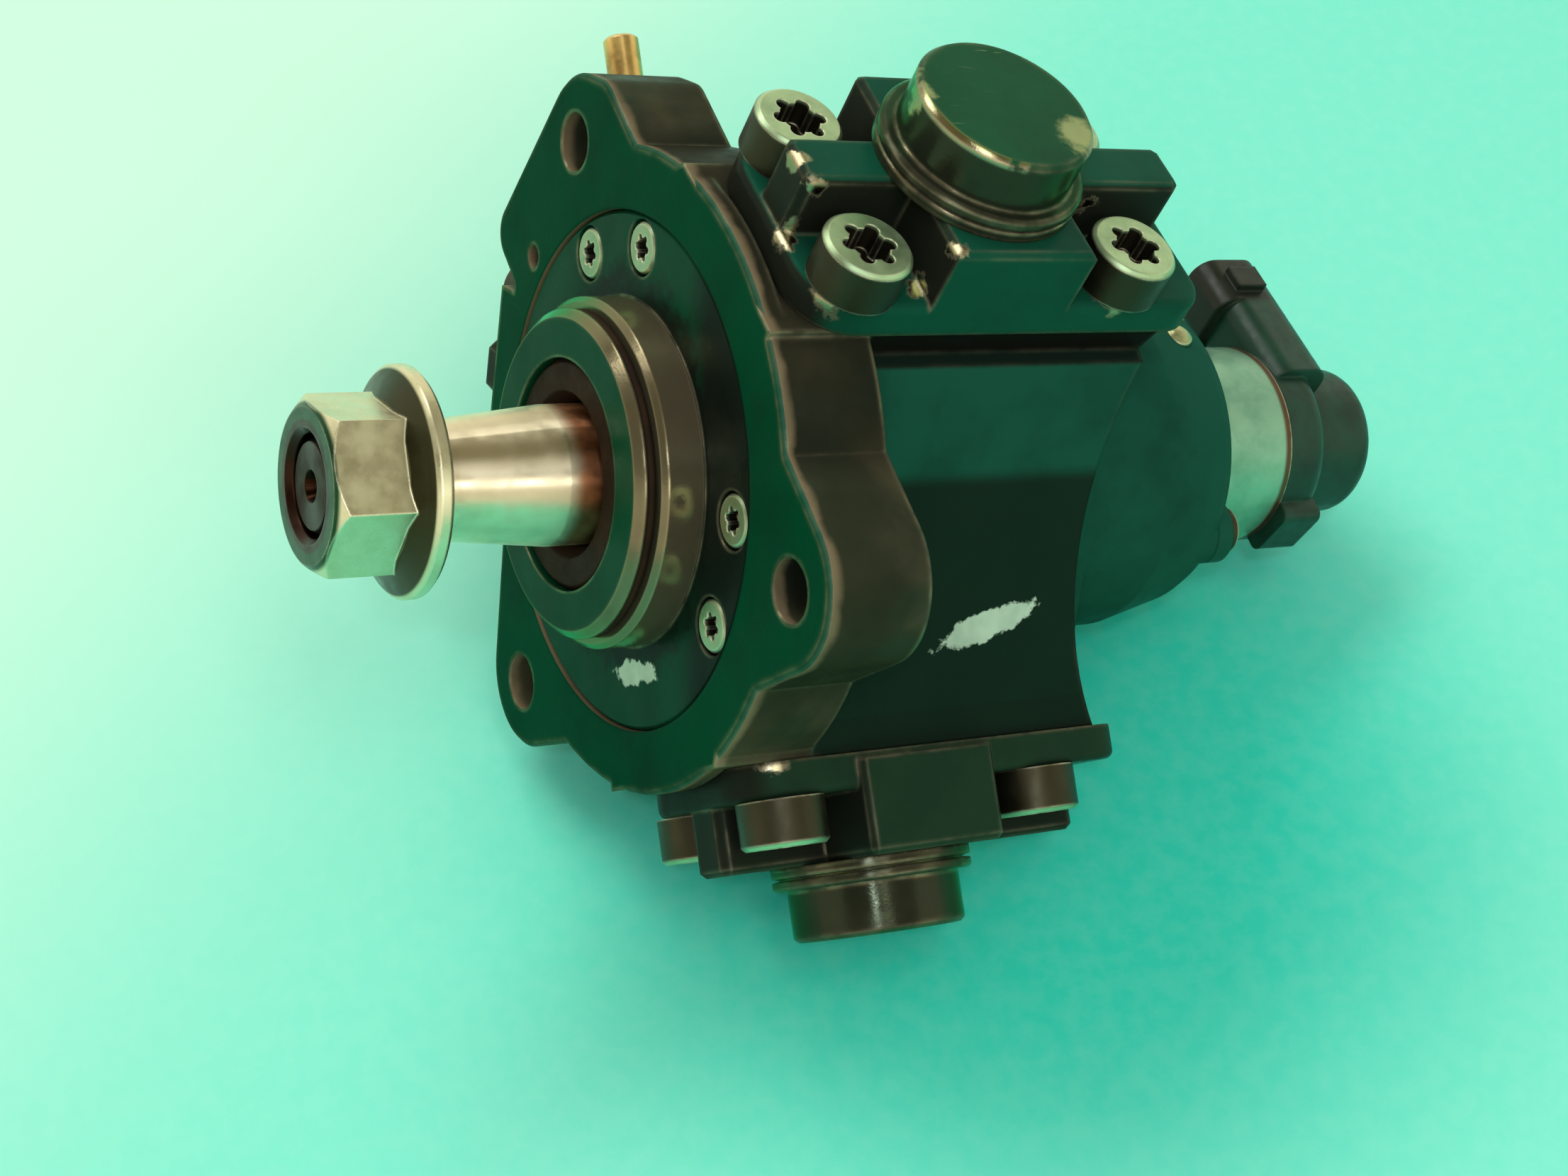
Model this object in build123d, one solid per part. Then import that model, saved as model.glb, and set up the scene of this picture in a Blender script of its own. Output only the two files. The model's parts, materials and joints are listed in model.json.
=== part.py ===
"""Three-cylinder radial-piston diesel injection pump, as separate pieces.

Frame: origin on the drive-shaft axis at the front face of the mounting flange,
+X to the rear, +Z up through cylinder 1, +Y to the far side. Millimetres.
Angles around the shaft are measured from +Z towards +Y.
"""
import os
from math import cos, radians, sin

from build123d import *

os.makedirs("parts", exist_ok=True)

# ---------------------------------------------------------------- fits
RUNNING_FIT = 0.03          # radial clearance of a bearing or a plunger
LOOSE_FIT = 0.10            # radial clearance of a spigot or a screw shank
FACE_GAP = 0.05             # between two clamped faces
ROUND_GAP = 0.30            # between a soft ring and the curved wall of its groove
BARREL_CLEARANCE = 0.02     # plunger in its barrel
SEAT_GAP = 0.02             # radial, between a bush or ring and its housing

# ---------------------------------------------------------------- flange
FLANGE_THICKNESS = 15.5
FLANGE_RADIUS = 46.3
FLANGE_FAR_RADIUS = 41.5    # relieved on the far side, between two ears
BOLT_CIRCLE_RADIUS = 48.9
BOLT_HOLE_RADIUS = 4.3
EAR_ANGLES = (-60.0, 60.0, 180.0)
EAR_TIP_RADIUS = 11.5
EAR_TIP_INSET = 2.1         # the tip's centre lies this far inside the bolt circle
EAR_FOOT_HALF = 21.5
EAR_FOOT_RADIUS = 35.6
FLANGE_EDGE = 0.6
WIDE_EAR_CORNER = 5.0       # radius of the upper ear's two extra corners
WIDE_EAR_NEAR = (-8.0, 1.4)     # across, and out from the bolt circle
WIDE_EAR_FAR = (24.5, -6.4)
WIDE_EAR_FOOT = (24.0, 30.0)
DOWEL_HOLE_RADIUS = 1.8
DOWEL_POINT = (41.3, 2.6)   # across and up
DOWEL_DEPTH = 6.0

# ---------------------------------------------------------------- body
BODY_BEHIND = 33.7          # rear face of the three-sided body, behind the cylinders
FLANK_DISTANCE = 36.0       # flat flanks, from the axis
SEAT_DISTANCE = 44.4        # cylinder-head seats, from the axis
NECK_HALF = 15.9            # half width of the neck under a seat
NECK_FOOT = 40.0            # distance from the axis where the neck starts
NECK_FOOT_HALF = 18.4
SCOOP_LENGTH = 10.0         # rear scoop of a flank
SCOOP_RADIUS = 60.0
CAVITY_BEHIND = 18.7        # behind the cylinders
SEAT_MARGIN = 1.0           # the seat reaches this far in front of the head
REAR_BODY_RADIUS = 27.6
REAR_TAPER_LENGTH = 13.0
REAR_NECK_RADIUS = 25.0

# ---------------------------------------------------------------- cover and pilot
COVER_RADIUS = 37.1
COVER_FRONT = 0.3
COVER_DEPTH = 7.0
COVER_SEAT = 7.1            # width of the shoulder behind the cover's rim
COVER_HUB_RADIUS = 20.0
PILOT_RADIUS = 25.0
PILOT_LENGTH = 6.1          # in front of the flange face
NOSE_RADIUS = 23.4
NOSE_RIM = 1.5              # lip in front of the O-ring groove
O_RING_GROOVE_RADIUS = 21.7
O_RING_GROOVE_WIDTH = 1.6
O_RING_RADIUS = 0.65        # of its section
COVER_SCREW_INSET = 4.7     # screw centres, inside the cover's rim
COVER_SCREW_ANGLES = (-82.0, -53.5, 32.0, 61.0, 125.0, 152.0)
COVER_SCREW_HEAD_RADIUS = 3.7
COVER_SCREW_POCKET = 0.35   # radial clearance of the sunk head
COVER_SCREW_HEAD = 3.2
COVER_SCREW_SHANK = 2.0
COVER_SCREW_LENGTH = 15.0

# ---------------------------------------------------------------- shaft
TAPER_LARGE_RADIUS = 10.0
TAPER_LENGTH = 19.6
TAPER_STANDOUT = 3.2        # from the nose to the taper's large end
TAPER_RATIO = 0.1           # radius lost per length, a 1:5 cone
THREAD_RADIUS = 7.0
THREAD_PITCH = 1.5
SEAL_RADIUS = 16.5
SEAL_RECESS = 0.6
SEAL_WIDTH = 6.0
FRONT_JOURNAL_RADIUS = 12.0
FRONT_BUSH_WALL = 1.5
FRONT_BUSH_SETBACK = 2.6    # behind the seal
FRONT_BUSH_LENGTH = 12.0
THRUST_WASHER = 1.2
THRUST_RADIUS = 15.5
COLLAR_LENGTH = 3.7
REAR_JOURNAL_RADIUS = 10.0
REAR_BUSH_WALL = 1.5
REAR_BUSH_SETBACK = 9.0     # behind the cavity
REAR_BUSH_LENGTH = 14.0
SHAFT_END = 4.0             # behind the rear bush
ECCENTRICITY = 3.4
ECCENTRIC_RADIUS = 14.0
ECCENTRIC_HALF = 12.0       # half length of the eccentric

# ---------------------------------------------------------------- nut
NUT_WASHER_RADIUS = 16.1
NUT_WASHER_THICKNESS = 3.0
NUT_HEX_HEIGHT = 11.8
NUT_GAP = 0.2               # between the nut and the taper's small end
THREAD_RECESS = 0.8         # the thread ends this far inside the nut
NUT_ACROSS_FLATS = 22.0
NUT_SKIRT_BORE = 8.6        # clears the small end of the taper

# ---------------------------------------------------------------- pumping elements
HEAD_X = 32.3               # the three cylinders lie in this plane
HEAD_SCREW_SHIFT = 0.9      # middle of each head's screw pattern, behind the cylinder
HEAD_ANGLES = (0.0, -120.0, 120.0)
RING_WALL = 1.6
RING_FLAT = 18.0            # flats of the polygon ring, from its own axis
RING_CORNER = 22.5
RING_HALF = 11.0
PLATE_RADIUS = 10.0
PLATE_THICKNESS = 2.6
PLATE_GAP = 0.3             # plate above the ring's highest position
PLUNGER_RADIUS = 3.25
PLUNGER_FOOT_RADIUS = 4.5
PLUNGER_FOOT = 1.2
INLET_LIFT = 0.5
TOP_CLEARANCE = 0.45        # between plunger and open inlet valve
BARREL_RADIUS = 6.2
BARREL_CLEARANCE_FOOT = 1.9 # between barrel and tappet plate at full stroke
SPRING_RADIUS = 8.6
SPRING_WIRE = 0.7
SPRING_TURNS = 4
SPRING_SEAT_DEPTH = 3.4     # inside the seat plane
SPRING_POCKET_RADIUS = 10.2
HEAD_NECK_RADIUS = 12.0
HEAD_NECK_LENGTH = 9.9

# ---------------------------------------------------------------- cylinder heads
HEAD_PLATE_BEFORE = 27.9    # in front of the cylinder
HEAD_PLATE_BEHIND = 36.9
HEAD_PLATE_HALF = 17.0
HEAD_PLATE_HEIGHT = 5.1
HEAD_PLATE_CORNER = 8.5     # its front corners
HEAD_PLATE_REAR_CORNER = 5.5
HEAD_BLOCK_HEIGHT = 9.5
BLOCK_BEFORE = 10.3         # in front of the cylinder
BLOCK_BEHIND = 12.1
BLOCK_FAR = 18.4
BLOCK_FAR_CUT = 0.8
WEB_INSET_FRONT = 0.8       # inside the plate's ends
WEB_INSET_REAR = 2.8
WEB_NEAR = -3.2
WEB_FAR = 5.2
HEAD_SCREW_X = 21.5
HEAD_SCREW_Y = 12.0
HEAD_SCREW_HEAD_RADIUS = 6.3
HEAD_SCREW_HEAD = 6.7
HEAD_SCREW_SHANK = 3.0
HEAD_SCREW_LENGTH = 16.0
CAP_RADIUS = 12.65
CAP_HEIGHT = 11.0
CAP_RING_RADIUS = 14.7
CAP_COLLAR = 3.4            # height of the grooved ring above the head
CAP_RING_HEIGHT = 1.4
CAP_GROOVE_DEPTH = 1.1
CAP_THREAD_RADIUS = 9.5
CAP_THREAD_LENGTH = 3.0
CAP_CHAMFER = 0.6
CAP_ROOF = 4.0
INLET_CHAMBER_RADIUS = 6.0
CHAMBER_ROOF = 6.0          # from the head's top to the inlet valve's seat
INLET_HEAD_RADIUS = 2.8
INLET_HEAD_THICKNESS = 1.2
INLET_STEM_RADIUS = 1.5
INLET_CHAMBER_DEPTH = 1.0   # below the cap's thread
INLET_STEM_CLEARANCE = 4.0  # under the cap's roof
INLET_COLLAR_RADIUS = 4.2
INLET_COLLAR_THICKNESS = 1.0
INLET_SPRING_RADIUS = 2.9
INLET_SPRING_WIRE = 0.35
INLET_SPRING_TURNS = 5
DELIVERY_WALL = 4.15        # metal between the seat and the delivery bore
DELIVERY_PORT_RADIUS = 0.9
DELIVERY_SEAT = 12.0
DELIVERY_BORE_RADIUS = 2.7
DELIVERY_BALL_RADIUS = 2.0
DELIVERY_SPRING_RADIUS = 1.7
DELIVERY_SPRING_WIRE = 0.3
DELIVERY_SPRING_LENGTH = 7.0
DELIVERY_SPRING_TURNS = 6
DELIVERY_SPRING_OFFSET = 4.2

# ---------------------------------------------------------------- metering valve and fittings
VALVE_BORE_RADIUS = 9.0
VALVE_BORE_DEPTH = 13.0
VALVE_FLANGE_THICKNESS = 3.0
VALVE_FLANGE_RADIUS = 18.5
VALVE_SCREW_ANGLES = (-82.0, 38.0, 158.0)
VALVE_SCREW_CIRCLE = 20.4
VALVE_SCREW_HEAD_RADIUS = 3.6
VALVE_SCREW_HEAD = 2.6
VALVE_SCREW_SHANK = 2.4
VALVE_SCREW_LENGTH = 12.0
VALVE_EAR_RADIUS = 5.0
VALVE_BOSS_LENGTH = 6.0
CAN_RADIUS = 16.0
CAN_WALL = 1.5
CAN_LENGTH = 16.5
PISTON_RADIUS = 4.0
PISTON_SETBACK = 2.5        # behind the bore's front end
PISTON_LENGTH = 14.0
PISTON_BORE_BEHIND = 15.0   # behind the housing's rear face
PISTON_SPRING_RADIUS = 2.6
PISTON_SPRING_WIRE = 0.4
PISTON_SPRING_TURNS = 6
VALVE_CAP_BASE = 8.5
VALVE_CAP_DOME_RADIUS = 12.0
VALVE_CAP_DOME = 13.5
VALVE_CAP_ROUND = 3.0
CONNECTOR_OVERLAP = 1.5     # its front wall reaches over the can
CONNECTOR_LENGTH = 13.0
CONNECTOR_LOW = 5.5
CONNECTOR_HEIGHT = 12.0
CONNECTOR_END = 25.4        # mouth of the connector, from the shaft axis
CONNECTOR_WALL = 1.8
CONNECTOR_DEPTH = 11.0
CONNECTOR_CORNER = 3.6
CONNECTOR_RIB = 1.4
PIN_HALF = 0.6
PIN_LENGTH = 6.0
PIN_SPACING = 5.0
FOOT_ANGLE = -97.0
FOOT_REACH = 18.2
FOOT_HALF = 5.0
FOOT_LENGTH = 7.5
RETURN_X = 21.6
RETURN_ACROSS = 21.4        # along the far flank, from its middle
RETURN_LENGTH = 31.4
RETURN_BOSS_RADIUS = 6.6
RETURN_SEAT = 42.0
RETURN_TUBE_RADIUS = 2.8
RETURN_BORE_RADIUS = 1.6
RETURN_THREAD_RADIUS = 4.0
INLET_X = 44.0
INLET_LENGTH = 15.0
OUTLET_X = 30.0
OUTLET_LENGTH = 17.0
UNION_THREAD_RADIUS = 7.0
UNION_BORE_RADIUS = 1.5
UNION_CONE_RADIUS = 4.5
HEX_HEIGHT = 6.0
UNION_HEX = 17.0            # across flats
STUB_HEX = 10.0
VALVE_PORT_RADIUS = 3.0
CAN_FRONT_GAP = 0.05
CORE_RADIUS = 7.0
CORE_WALL = 1.5
COIL_RADIUS = 14.2
COIL_BORE = 7.4
VALVE_RING_DEPTH = 7.0      # inside the housing's rear face
VALVE_RING_GROOVE = 7.1
VALVE_RING_WIDTH = 2.0
VALVE_RING_RADIUS = 0.75
PISTON_BORE = 1.5
BALL_PLUG_INSET = 6.0       # in front of the housing's rear face
BALL_PLUG_RADIUS = 2.2


# ---------------------------------------------------------------- derived
EAR_TIP_CENTRE = BOLT_CIRCLE_RADIUS - EAR_TIP_INSET
COVER_SCREW_CIRCLE = COVER_RADIUS - COVER_SCREW_INSET
CAVITY_RADIUS = COVER_RADIUS - COVER_SEAT
PILOT_FRONT = -PILOT_LENGTH
GROOVE_FRONT = PILOT_FRONT - O_RING_GROOVE_WIDTH
NOSE_FRONT = GROOVE_FRONT - NOSE_RIM
TAPER_REAR = NOSE_FRONT - TAPER_STANDOUT
TAPER_FRONT = TAPER_REAR - TAPER_LENGTH
NUT_WASHER_FRONT = TAPER_FRONT - NUT_GAP - NUT_WASHER_THICKNESS
NUT_FRONT = NUT_WASHER_FRONT - NUT_HEX_HEIGHT
THREAD_FRONT = NUT_FRONT + THREAD_RECESS
SEAL_FRONT = NOSE_FRONT + SEAL_RECESS
SEAL_REAR = SEAL_FRONT + SEAL_WIDTH
FRONT_BUSH_FRONT = SEAL_REAR + FRONT_BUSH_SETBACK
FRONT_BUSH_REAR = FRONT_BUSH_FRONT + FRONT_BUSH_LENGTH
FRONT_BUSH_RADIUS = FRONT_JOURNAL_RADIUS + RUNNING_FIT + FRONT_BUSH_WALL
COLLAR_FRONT = FRONT_BUSH_REAR + THRUST_WASHER + 2 * FACE_GAP
COLLAR_REAR = COLLAR_FRONT + COLLAR_LENGTH
BODY_REAR = HEAD_X + BODY_BEHIND
SCOOP_START = BODY_REAR - SCOOP_LENGTH
CAVITY_REAR = HEAD_X + CAVITY_BEHIND
REAR_BUSH_FRONT = CAVITY_REAR + REAR_BUSH_SETBACK
REAR_BUSH_REAR = REAR_BUSH_FRONT + REAR_BUSH_LENGTH
REAR_BUSH_RADIUS = REAR_JOURNAL_RADIUS + RUNNING_FIT + REAR_BUSH_WALL
REAR_BUSH_BORE = REAR_BUSH_RADIUS + SEAT_GAP
SHAFT_REAR = REAR_BUSH_REAR + SHAFT_END
VALVE_BORE_FRONT = SHAFT_REAR + 2
REAR_FACE = VALVE_BORE_FRONT + VALVE_BORE_DEPTH
REAR_TAPER_START = REAR_FACE - REAR_TAPER_LENGTH
BALL_PLUG_X = REAR_FACE - BALL_PLUG_INSET
VALVE_RING_FRONT = REAR_FACE - VALVE_RING_DEPTH
PISTON_FRONT = VALVE_BORE_FRONT + PISTON_SETBACK
PISTON_BORE_REAR = REAR_FACE + PISTON_BORE_BEHIND
CORE_REAR = PISTON_BORE_REAR + CORE_WALL
CAN_REAR = REAR_FACE + VALVE_FLANGE_THICKNESS + CAN_LENGTH
VALVE_CAP_STEP = CAN_REAR + VALVE_CAP_BASE
VALVE_CAP_REAR = VALVE_CAP_STEP + VALVE_CAP_DOME
CONNECTOR_FRONT = CAN_REAR - CONNECTOR_OVERLAP
CONNECTOR_REAR = CONNECTOR_FRONT + CONNECTOR_LENGTH
CONNECTOR_HIGH = CONNECTOR_LOW + CONNECTOR_HEIGHT
FOOT_REAR = CAN_REAR + FOOT_LENGTH
RING_BUSH_RADIUS = ECCENTRIC_RADIUS + RUNNING_FIT + RING_WALL
ECCENTRIC_Z = ECCENTRICITY  # the eccentric points up at rest
STROKE = 2 * ECCENTRICITY
PLATE_FOOT = RING_FLAT + ECCENTRICITY + PLATE_GAP
PLATE_TOP = PLATE_FOOT + PLATE_THICKNESS
BARREL_FOOT = PLATE_TOP + STROKE + BARREL_CLEARANCE_FOOT
SPRING_SEAT = SEAT_DISTANCE - SPRING_SEAT_DEPTH
HEAD_NECK_FOOT = SEAT_DISTANCE - HEAD_NECK_LENGTH
HEAD_PLATE_FRONT = HEAD_X - HEAD_PLATE_BEFORE
HEAD_PLATE_REAR = HEAD_X + HEAD_PLATE_BEHIND
HEAD_PLATE_TOP = SEAT_DISTANCE + HEAD_PLATE_HEIGHT
HEAD_TOP = HEAD_PLATE_TOP + HEAD_BLOCK_HEIGHT
HEAD_SCREW_CENTRE = HEAD_X + HEAD_SCREW_SHIFT
HEAD_SCREW_TOP = HEAD_PLATE_TOP + HEAD_SCREW_HEAD
HEAD_SCREW_FOOT = HEAD_PLATE_TOP - HEAD_SCREW_LENGTH
SEAT_FRONT = HEAD_PLATE_FRONT - SEAT_MARGIN
BLOCK_FRONT = HEAD_X - BLOCK_BEFORE
BLOCK_REAR = HEAD_X + BLOCK_BEHIND
WEB_FRONT = HEAD_PLATE_FRONT + WEB_INSET_FRONT
WEB_REAR = HEAD_PLATE_REAR - WEB_INSET_REAR
WEB_MIDDLE = (WEB_NEAR + WEB_FAR) / 2
CAP_TOP = HEAD_TOP + CAP_HEIGHT
CAP_RING_TOP = HEAD_TOP + CAP_COLLAR
CAP_FOOT = HEAD_TOP - CAP_THREAD_LENGTH
CAP_HOLLOW_TOP = CAP_TOP - CAP_ROOF
CHAMBER_TOP = HEAD_TOP - CHAMBER_ROOF
INLET_CHAMBER_FLOOR = CAP_FOOT - INLET_CHAMBER_DEPTH
INLET_STEM_TOP = CAP_HOLLOW_TOP - INLET_STEM_CLEARANCE
PLUNGER_TOP = CHAMBER_TOP - INLET_HEAD_THICKNESS - FACE_GAP - INLET_LIFT - STROKE - TOP_CLEARANCE
DELIVERY_HEIGHT = SEAT_DISTANCE + FACE_GAP + DELIVERY_WALL + DELIVERY_BORE_RADIUS
RETURN_END = RETURN_SEAT + RETURN_LENGTH
INLET_END = FLANK_DISTANCE + INLET_LENGTH
OUTLET_END = FLANK_DISTANCE + OUTLET_LENGTH


# ---------------------------------------------------------------- helpers
def turned(points):
    """Solid of revolution about the X axis from (x, radius) points."""
    outline = Polyline(*[(x, 0, r) for x, r in points], close=True)
    return revolve(make_face(outline), Axis.X, 360)


def rod(radius, start, end):
    """Round bar along X."""
    return turned([(start, 0), (start, radius), (end, radius), (end, 0)])


def tube(outer, inner, start, end):
    """Round tube along X."""
    return turned([(start, inner), (start, outer), (end, outer), (end, inner)])


def upright(radius, low, high, x=0.0, y=0.0):
    """Round bar along Z between two heights."""
    return Pos(x, y, (low + high) / 2) * Cylinder(radius, high - low)


def block(x0, x1, y0, y1, z0, z1):
    """Box between two corners."""
    centre = Pos((x0 + x1) / 2, (y0 + y1) / 2, (z0 + z1) / 2)
    return centre * Box(x1 - x0, y1 - y0, z1 - z0)


def hexagon_bar(across_flats, low, high, x=0.0, y=0.0):
    """Hexagonal bar along Z."""
    face = Pos(x, y, low) * RegularPolygon(across_flats / 2, 6, major_radius=False)
    return extrude(face, high - low)


def turn(angle):
    """Carry a shape from the top (+Z) to an angle around the shaft."""
    return Rot(-angle, 0, 0)


def around(angle, radius, x=0.0):
    """Point at an angle around the shaft."""
    return (x, radius * sin(radians(angle)), radius * cos(radians(angle)))


def coil(mean_radius, wire, low, high, turns):
    """Compression spring along Z."""
    pitch = (high - low - 2 * wire) / turns
    path = Pos(0, 0, low + wire) * Helix(pitch, pitch * turns, mean_radius)
    section = Plane(path @ 0, z_dir=path % 0) * Circle(wire)
    return sweep(section, path)


def lathe(points, x=0.0, y=0.0):
    """Solid of revolution about Z from (radius, height) points."""
    outline = Polyline(*[(r, 0, z) for r, z in points], close=True)
    return Pos(x, y, 0) * revolve(make_face(outline), Axis.Z, 360)


def save(shape, name):
    """Write one node."""
    export_step(shape, f"parts/{name}.step")


def gather(shapes):
    """Separate solids of one node."""
    return Compound(children=list(shapes))


def outward(angle):
    """Unit direction in the flange plane, and the direction across it."""
    a = radians(angle)
    return (sin(a), cos(a)), (cos(a), -sin(a))


def flange_point(angle, across, out):
    """Point (Y, Z) in the flange plane given in an ear's own directions."""
    n, t = outward(angle)
    return (out * n[0] + across * t[0], out * n[1] + across * t[1])


# ---------------------------------------------------------------- housing
def ear(angle, circles, foot_low, foot_high):
    """Flange ear: a hull round some circles and two foot points."""
    feet = [flange_point(angle, *foot_low), flange_point(angle, *foot_high)]
    edges = Line(*feet).edges()
    for across, out, radius in circles:
        centre = flange_point(angle, across, out)
        edges += (Pos(*centre) * Circle(radius)).edges()
    inner = [flange_point(angle, 10, 12), flange_point(angle, -10, 12)]
    root = make_face(Polyline(feet[0], feet[1], *inner, close=True))
    return make_hull(edges) + root


def flange():
    plain = [(0, EAR_TIP_CENTRE, EAR_TIP_RADIUS)]
    wide = [(-1, EAR_TIP_CENTRE, EAR_TIP_RADIUS)]
    for across, out in (WIDE_EAR_NEAR, WIDE_EAR_FAR):
        wide.append((across, BOLT_CIRCLE_RADIUS + out, WIDE_EAR_CORNER))
    low = (-EAR_FOOT_HALF, EAR_FOOT_RADIUS)
    high = (EAR_FOOT_HALF, EAR_FOOT_RADIUS)
    far = [(0, 0), around(70, 90)[1:], around(120, 120)[1:], around(175, 90)[1:]]
    outline = Circle(FLANGE_RADIUS) - make_face(Polyline(*far, close=True))
    outline += Circle(FLANGE_FAR_RADIUS)
    outline += ear(-60, plain, low, high)
    outline += ear(180, plain, low, high)
    outline += ear(60, wide, low, WIDE_EAR_FOOT)
    plate = extrude(Plane.YZ * outline, FLANGE_THICKNESS)
    front = plate.faces().sort_by(Axis.X)[0]
    return chamfer(front.edges(), FLANGE_EDGE)


def body():
    """Three-sided body with a seat at each head angle."""
    corners = []
    for angle in (0, 120, 240):
        for across, out in (
            (-NECK_FOOT_HALF, NECK_FOOT),
            (-NECK_HALF, NECK_FOOT),
            (-NECK_HALF, SEAT_DISTANCE),
            (NECK_HALF, SEAT_DISTANCE),
        ):
            corners.append(flange_point(angle, across, out))
    section = Plane.YZ * make_face(Polyline(*corners, close=True))
    solid = extrude(section, BODY_REAR)
    for angle in EAR_ANGLES:
        scoop = upright(SCOOP_RADIUS, REAR_BODY_RADIUS - 1.5, 60, x=SCOOP_START + SCOOP_RADIUS)
        solid -= turn(angle) * scoop
    return solid


def pump_housing():
    solid = flange() + body()
    solid += turned([
        (BODY_REAR - 30, 0),
        (BODY_REAR - 30, REAR_BODY_RADIUS),
        (REAR_TAPER_START, REAR_BODY_RADIUS),
        (REAR_FACE - 2, REAR_NECK_RADIUS),
        (REAR_FACE, REAR_NECK_RADIUS - 1),
        (REAR_FACE, 0),
    ])
    solid += turn(60) * upright(RETURN_BOSS_RADIUS, 20, RETURN_SEAT, RETURN_X, RETURN_ACROSS)
    for angle in VALVE_SCREW_ANGLES:
        boss = rod(VALVE_EAR_RADIUS, REAR_FACE - VALVE_BOSS_LENGTH, REAR_FACE)
        solid += Pos(*around(angle, VALVE_SCREW_CIRCLE)) * boss
    solid -= turned([
        (COVER_FRONT - 1, 0),
        (COVER_FRONT - 1, COVER_RADIUS + LOOSE_FIT),
        (COVER_DEPTH, COVER_RADIUS + LOOSE_FIT),
        (COVER_DEPTH, CAVITY_RADIUS),
        (CAVITY_REAR, CAVITY_RADIUS),
        (CAVITY_REAR + 3, REAR_BUSH_BORE + 4),
        (REAR_BUSH_FRONT, REAR_BUSH_BORE),
        (REAR_BUSH_REAR, REAR_BUSH_BORE),
        (REAR_BUSH_REAR, REAR_JOURNAL_RADIUS + 1),
        (SHAFT_REAR + 1, REAR_JOURNAL_RADIUS + 1),
        (SHAFT_REAR + 1, 0),
    ])
    solid -= rod(VALVE_BORE_RADIUS, VALVE_BORE_FRONT, REAR_FACE + 1)
    solid -= rod(VALVE_PORT_RADIUS, SHAFT_REAR, VALVE_BORE_FRONT + 1)
    for angle in HEAD_ANGLES:
        room = HEAD_PLATE_HALF + 4
        seat = block(SEAT_FRONT, HEAD_PLATE_REAR + 2, -room, room, SEAT_DISTANCE, HEAD_TOP)
        solid -= turn(angle) * seat
        bore = upright(HEAD_NECK_RADIUS + LOOSE_FIT, 20, SEAT_DISTANCE + 1, x=HEAD_X)
        solid -= turn(angle) * bore
        for x, y in head_screw_points():
            hole = upright(HEAD_SCREW_SHANK, HEAD_SCREW_FOOT - 1, SEAT_DISTANCE + 1, x=x, y=y)
            solid -= turn(angle) * hole
    for angle in EAR_ANGLES:
        x, y, z = around(angle, BOLT_CIRCLE_RADIUS)
        solid -= Pos(0, y, z) * rod(BOLT_HOLE_RADIUS, -1, FLANGE_THICKNESS + 1)
    solid -= Pos(0, *DOWEL_POINT) * rod(DOWEL_HOLE_RADIUS, -1, DOWEL_DEPTH)
    for angle in COVER_SCREW_ANGLES:
        x, y, z = around(angle, COVER_SCREW_CIRCLE)
        solid -= Pos(0, y, z) * rod(COVER_SCREW_SHANK, COVER_DEPTH - 1, COVER_FRONT + COVER_SCREW_LENGTH + 2)
    for angle in VALVE_SCREW_ANGLES:
        x, y, z = around(angle, VALVE_SCREW_CIRCLE)
        solid -= Pos(0, y, z) * rod(VALVE_SCREW_SHANK, REAR_FACE - VALVE_SCREW_LENGTH, REAR_FACE + 1)
    solid -= turn(60) * upright(RETURN_THREAD_RADIUS, RETURN_SEAT - 6, 60, RETURN_X, RETURN_ACROSS)
    solid -= turn(60) * upright(RETURN_THREAD_RADIUS, FLANK_DISTANCE - 6, 60, INLET_X, 0)
    solid -= turn(180) * upright(UNION_THREAD_RADIUS - 1, FLANK_DISTANCE - 4, 60, OUTLET_X, 0)
    solid -= turn(0) * upright(BALL_PLUG_RADIUS, VALVE_BORE_RADIUS + 2, 40, BALL_PLUG_X, 0)
    return solid


# ---------------------------------------------------------------- cover
def front_cover():
    solid = turned([
        (COVER_DEPTH, 0),
        (COVER_DEPTH, COVER_RADIUS),
        (COVER_FRONT + 0.6, COVER_RADIUS),
        (COVER_FRONT, COVER_RADIUS - 0.6),
        (COVER_FRONT, PILOT_RADIUS),
        (PILOT_FRONT + 0.8, PILOT_RADIUS),
        (PILOT_FRONT, PILOT_RADIUS - 0.8),
        (PILOT_FRONT, O_RING_GROOVE_RADIUS),
        (GROOVE_FRONT, O_RING_GROOVE_RADIUS),
        (GROOVE_FRONT, NOSE_RADIUS),
        (NOSE_FRONT + 1.2, NOSE_RADIUS),
        (NOSE_FRONT, NOSE_RADIUS - 1.2),
        (NOSE_FRONT, 0),
    ])
    solid += rod(COVER_HUB_RADIUS, COVER_DEPTH - 1, FRONT_BUSH_REAR)
    solid -= rod(SEAL_RADIUS + SEAT_GAP, NOSE_FRONT - 1, SEAL_REAR)
    solid -= rod(FRONT_JOURNAL_RADIUS + 0.4, SEAL_REAR - 1, FRONT_BUSH_REAR + 1)
    solid -= rod(FRONT_BUSH_RADIUS + SEAT_GAP, FRONT_BUSH_FRONT, FRONT_BUSH_REAR + 1)
    for angle in COVER_SCREW_ANGLES:
        x, y, z = around(angle, COVER_SCREW_CIRCLE)
        solid -= Pos(0, y, z) * rod(COVER_SCREW_SHANK + LOOSE_FIT, COVER_FRONT - 1, COVER_DEPTH + 1)
        pocket_radius = COVER_SCREW_HEAD_RADIUS + COVER_SCREW_POCKET
        pocket = rod(pocket_radius, COVER_FRONT - 1, COVER_FRONT + COVER_SCREW_HEAD)
        solid -= Pos(0, y, z) * pocket
    return solid


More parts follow.
